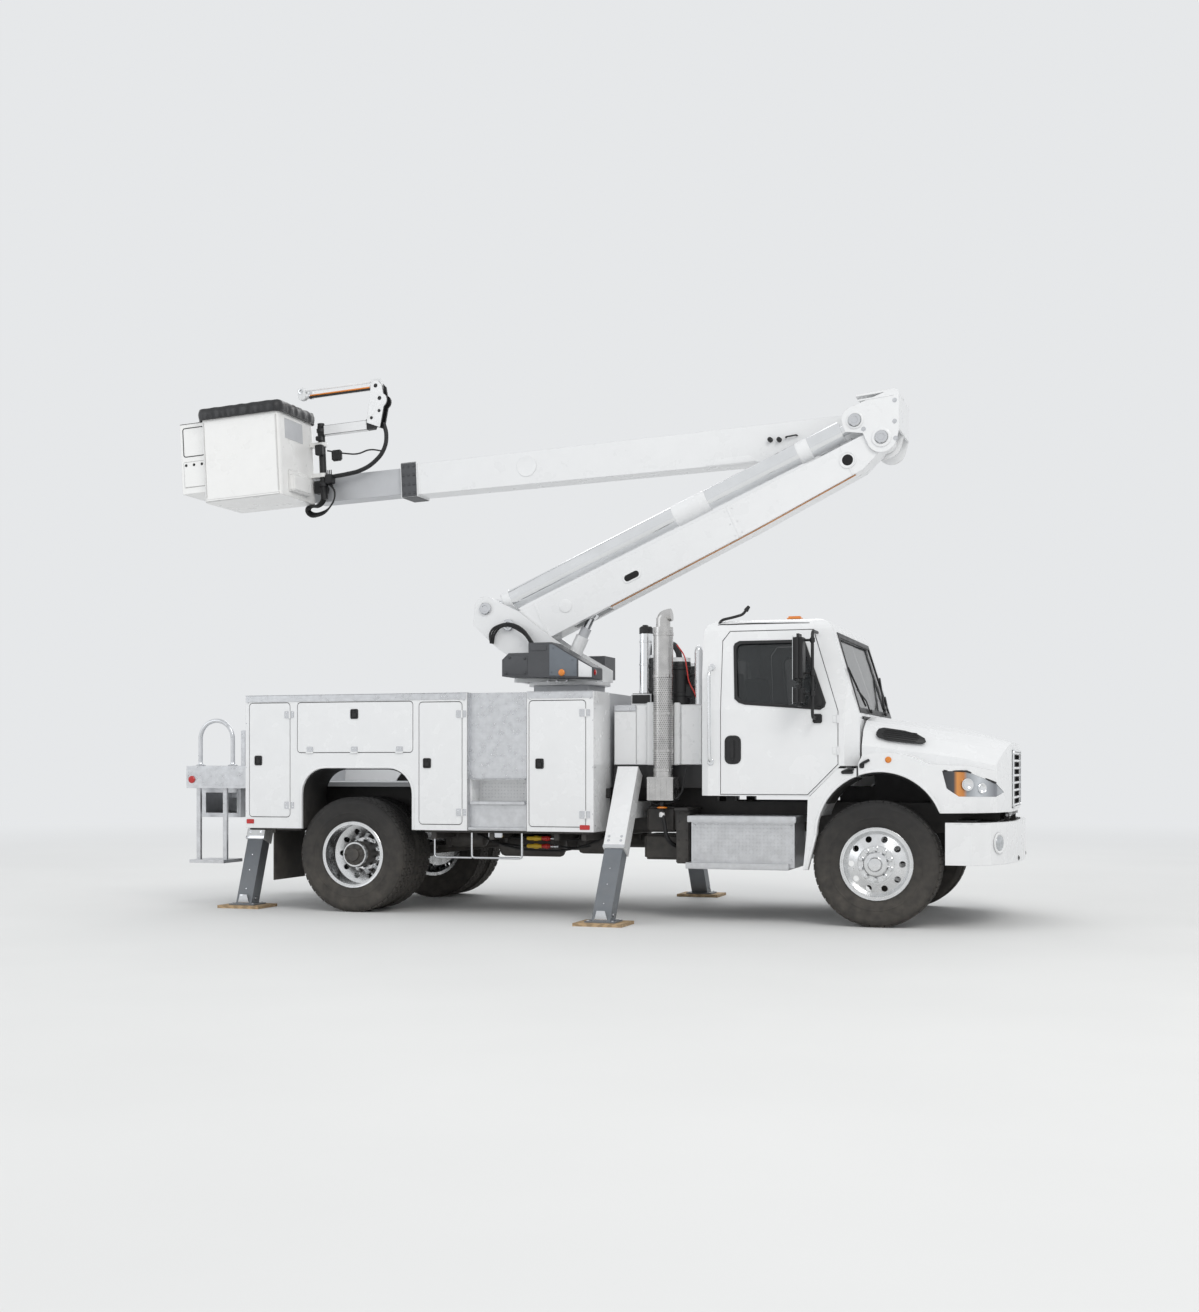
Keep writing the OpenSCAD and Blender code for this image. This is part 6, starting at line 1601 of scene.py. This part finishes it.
# %% Mast, valves and hoses
valves = Maker("mast_valves")
valves.block((0.010, -0.150, 0.30), (0.085, -0.094, 0.40), 0.006, 2, pail)
valves.block((0.020, -0.145, 0.44), (0.080, -0.0945, 0.485), 0.006, 2, pail)
for z in (0.02, 0.55):
    valves.turn([(0.0342, -0.02), (0.046, -0.017), (0.046, 0.017), (0.0342, 0.02)],
                pail @ Matrix.Translation((0.045, -0.060, z)), 32)
valves.block((0.085, -0.115, 0.02), (0.16, -0.03, 0.11), 0.008, 2, pail)
for k in range(4):
    valves.rod(pail @ Vector((0.098 + 0.018 * k, -0.10, 0.108)),
               pail @ Vector((0.098 + 0.018 * k, -0.10, 0.150)), 0.005, 10)
valves.done(black, "bucket_bracket_body", "black_paint")
bundle = Maker("bucket_hoses")
for k in range(5):
    y = -0.004 - 0.019 * k
    bundle.pipe([pail @ Vector(p) for p in ((0.10, y, 0.03), (0.135 + 0.01 * k, y - 0.01, -0.07),
                                            (0.10, y - 0.02, -0.175 - 0.014 * k),
                                            (0.0, y - 0.02, -0.235 - 0.012 * k),
                                            (-0.12, y - 0.015, -0.225 - 0.01 * k),
                                            (-0.14, y, -0.185),
                                            (-0.04, y + 0.005, -0.175), (0.02, y, -0.13),
                                            (0.03, y, -0.07))], 0.0085, 8)
bundle.pipe([pail @ Vector(p) for p in ((0.715, -0.060, 0.55), (0.735, -0.055, 0.43),
                                        (0.70, -0.050, 0.30), (0.59, -0.045, 0.19),
                                        (0.44, -0.040, 0.125), (0.30, -0.040, 0.105),
                                        (0.18, -0.050, 0.095), (0.13, -0.06, 0.09))], 0.021, 12)
bundle.pipe([pail @ Vector(p) for p in ((0.68, -0.050, 0.285), (0.55, -0.050, 0.31),
                                        (0.42, -0.055, 0.285), (0.30, -0.058, 0.30),
                                        (0.12, -0.10, 0.34))], 0.008, 8)
bundle.block((0.16, -0.105, 0.235), (0.26, -0.05, 0.34), 0.012, 3, pail)
bundle.done(hose_black, "bucket_bracket_body", "trim_plastic")

# %% Jib
head = Maker("jib_head_plates")
swing = ring(0.715, 0.760, 0.070, 10, radians(300), radians(420), closed=False)
crown = ring(0.675, 0.905, 0.050, 10, radians(20), radians(160), closed=False)
outline = [(0.560, 0.560), (0.700, 0.500)] + swing + [(0.740, 0.905)] + crown
drilled = [ring(0.615, 0.60, 0.016, 16), ring(0.70, 0.66, 0.016, 16), ring(0.71, 0.78, 0.02, 16),
           ring(0.675, 0.905, 0.02, 16)]
head.plate(outline, 0.003, face(pail, -0.1162), holes=drilled, edge=0.001)
head.plate(outline, 0.003, face(pail, -0.001), holes=drilled, edge=0.001)
head.block((0.085, -0.0955, 0.4965), (0.555, -0.0245, 0.5935), 0.006, 2, pail)
head.done(white, "bucket_bracket_body", "white_paint")
for name, mat, y, z, radius in (("jib_orange_line", amber_lens, -0.092, -0.004, 0.008),
                                ("jib_black_line", hose_black, -0.092, -0.022, 0.010),
                                ("jib_white_sleeve", white_high, -0.060, 0.0, 0.0285)):
    part = Maker(name)
    part.rod(pail @ Vector((0.675 - 0.72, y, 0.905 + z)),
             pail @ Vector((0.675 - 0.075, y, 0.905 + z)), radius, 20, edge=0.003)
    part.done(mat, "jib_body", "trim_plastic")
tips = Maker("jib_tip_rings")
for y, way in ((-0.0885, -1), (-0.0315, 1)):
    tips.turn([(0.013, 0), (0.024, 0), (0.024, 0.004), (0.013, 0.005)],
              pail @ facing((0.675 - 0.820, y, 0.955), (0, way, 0)), 28)
tips.turn([(0.0262, 0.0), (0.036, 0.003), (0.036, 0.030), (0.0262, 0.033)],
          pail @ Matrix.Translation((0.675, -0.060, 0.905)) @ Matrix.Rotation(radians(-90), 4,
                  "Y") @ Matrix.Translation((0, 0, 0.70)), 28)
tips.done(rod_steel, "jib_body", "rod_steel")

# %% [markdown]
# ## The studio
# A white truck needs a floor and sky a little darker than itself, or its edges vanish. The pale
# floor fades into the sky's own tone with distance, so no horizon shows. One broad key lamp on the
# camera's side, a fill and a soft lamp behind give gentle shading with no hard shadows.

# %% Floor
SKY, SKY_POWER = (0.90, 0.915, 0.93), 0.88


def backdrop():
    mesh = bpy.data.meshes.new("floor")
    reach = 60
    mesh.from_pydata([(-reach, -reach, 0), (reach, -reach, 0), (reach, reach, 0),
                      (-reach, reach, 0)], [], [(0, 1, 2, 3)])
    floor = bpy.data.objects.new("floor", mesh)
    bpy.context.scene.collection.objects.link(floor)
    pale = finish("pale_floor", (0.80, 0.80, 0.79), 0.8, shade=0.03, grain=0.6, relief=0.05, grit=8)
    tree = pale.node_tree
    where = tree.nodes["Texture Coordinate"].outputs["Object"]
    far = tree.nodes.new("ShaderNodeVectorMath")
    far.operation = "LENGTH"
    tree.links.new(where, far.inputs[0])
    fade = tree.nodes.new("ShaderNodeMapRange")
    fade.interpolation_type = "SMOOTHSTEP"
    fade.inputs["From Min"].default_value = 5
    fade.inputs["From Max"].default_value = 26
    tree.links.new(far.outputs["Value"], fade.inputs["Value"])
    glow = tree.nodes.new("ShaderNodeEmission")
    glow.inputs["Color"].default_value = (*SKY, 1)
    glow.inputs["Strength"].default_value = SKY_POWER
    blend = tree.nodes.new("ShaderNodeMixShader")
    tree.links.new(fade.outputs["Result"], blend.inputs[0])
    tree.links.new(tree.nodes["Principled BSDF"].outputs[0], blend.inputs[1])
    tree.links.new(glow.outputs[0], blend.inputs[2])
    tree.links.new(blend.outputs[0], tree.nodes["Material Output"].inputs["Surface"])
    mesh.materials.append(pale)
    return floor


backdrop()
print("floor laid")

# %% Lamps and sky
def lamp(name, place, target, size, power, colour=(1, 1, 1)):
    data = bpy.data.lights.new(name, "AREA")
    data.shape = "DISK"
    data.size = size
    data.energy = power
    data.color = colour
    obj = bpy.data.objects.new(name, data)
    obj.matrix_world = facing(place, Vector(place) - Vector(target))
    bpy.context.scene.collection.objects.link(obj)
    return obj


lamp("key", (9, -11, 12), (0, 0, 1.5), 7, 620, (1, 0.985, 0.96))
lamp("fill", (-11, -9, 6), (0, 0, 1.8), 8, 170, (0.94, 0.97, 1))
lamp("back", (-3, 12, 10), (0, 0, 2), 8, 330)
world = bpy.data.worlds.new("sky")
bpy.context.scene.world = world
world.use_nodes = True
world.node_tree.nodes["Background"].inputs[0].default_value = (*SKY, 1)
world.node_tree.nodes["Background"].inputs[1].default_value = SKY_POWER
bpy.context.scene.view_settings.view_transform = "Standard"
print("lamps:", len(bpy.data.lights))

# %% [markdown]
# The camera stands at head height to the truck's right and a little ahead of it, far enough back
# that the truck's own lines stay nearly straight, with the lens lifted so that uprights stay upright.

# %% Camera
camera = bpy.data.cameras.new("camera")
camera.sensor_width = 36
camera.lens = 45.16
camera.shift_y = 0.084
eye = bpy.data.objects.new("camera", camera)
eye.location = at(6.679, -14.509, 1.308)
eye.rotation_euler = (radians(90), 0, radians(18.05))
bpy.context.scene.collection.objects.link(eye)
bpy.context.scene.camera = eye
print("camera at", [round(v, 2) for v in eye.location])
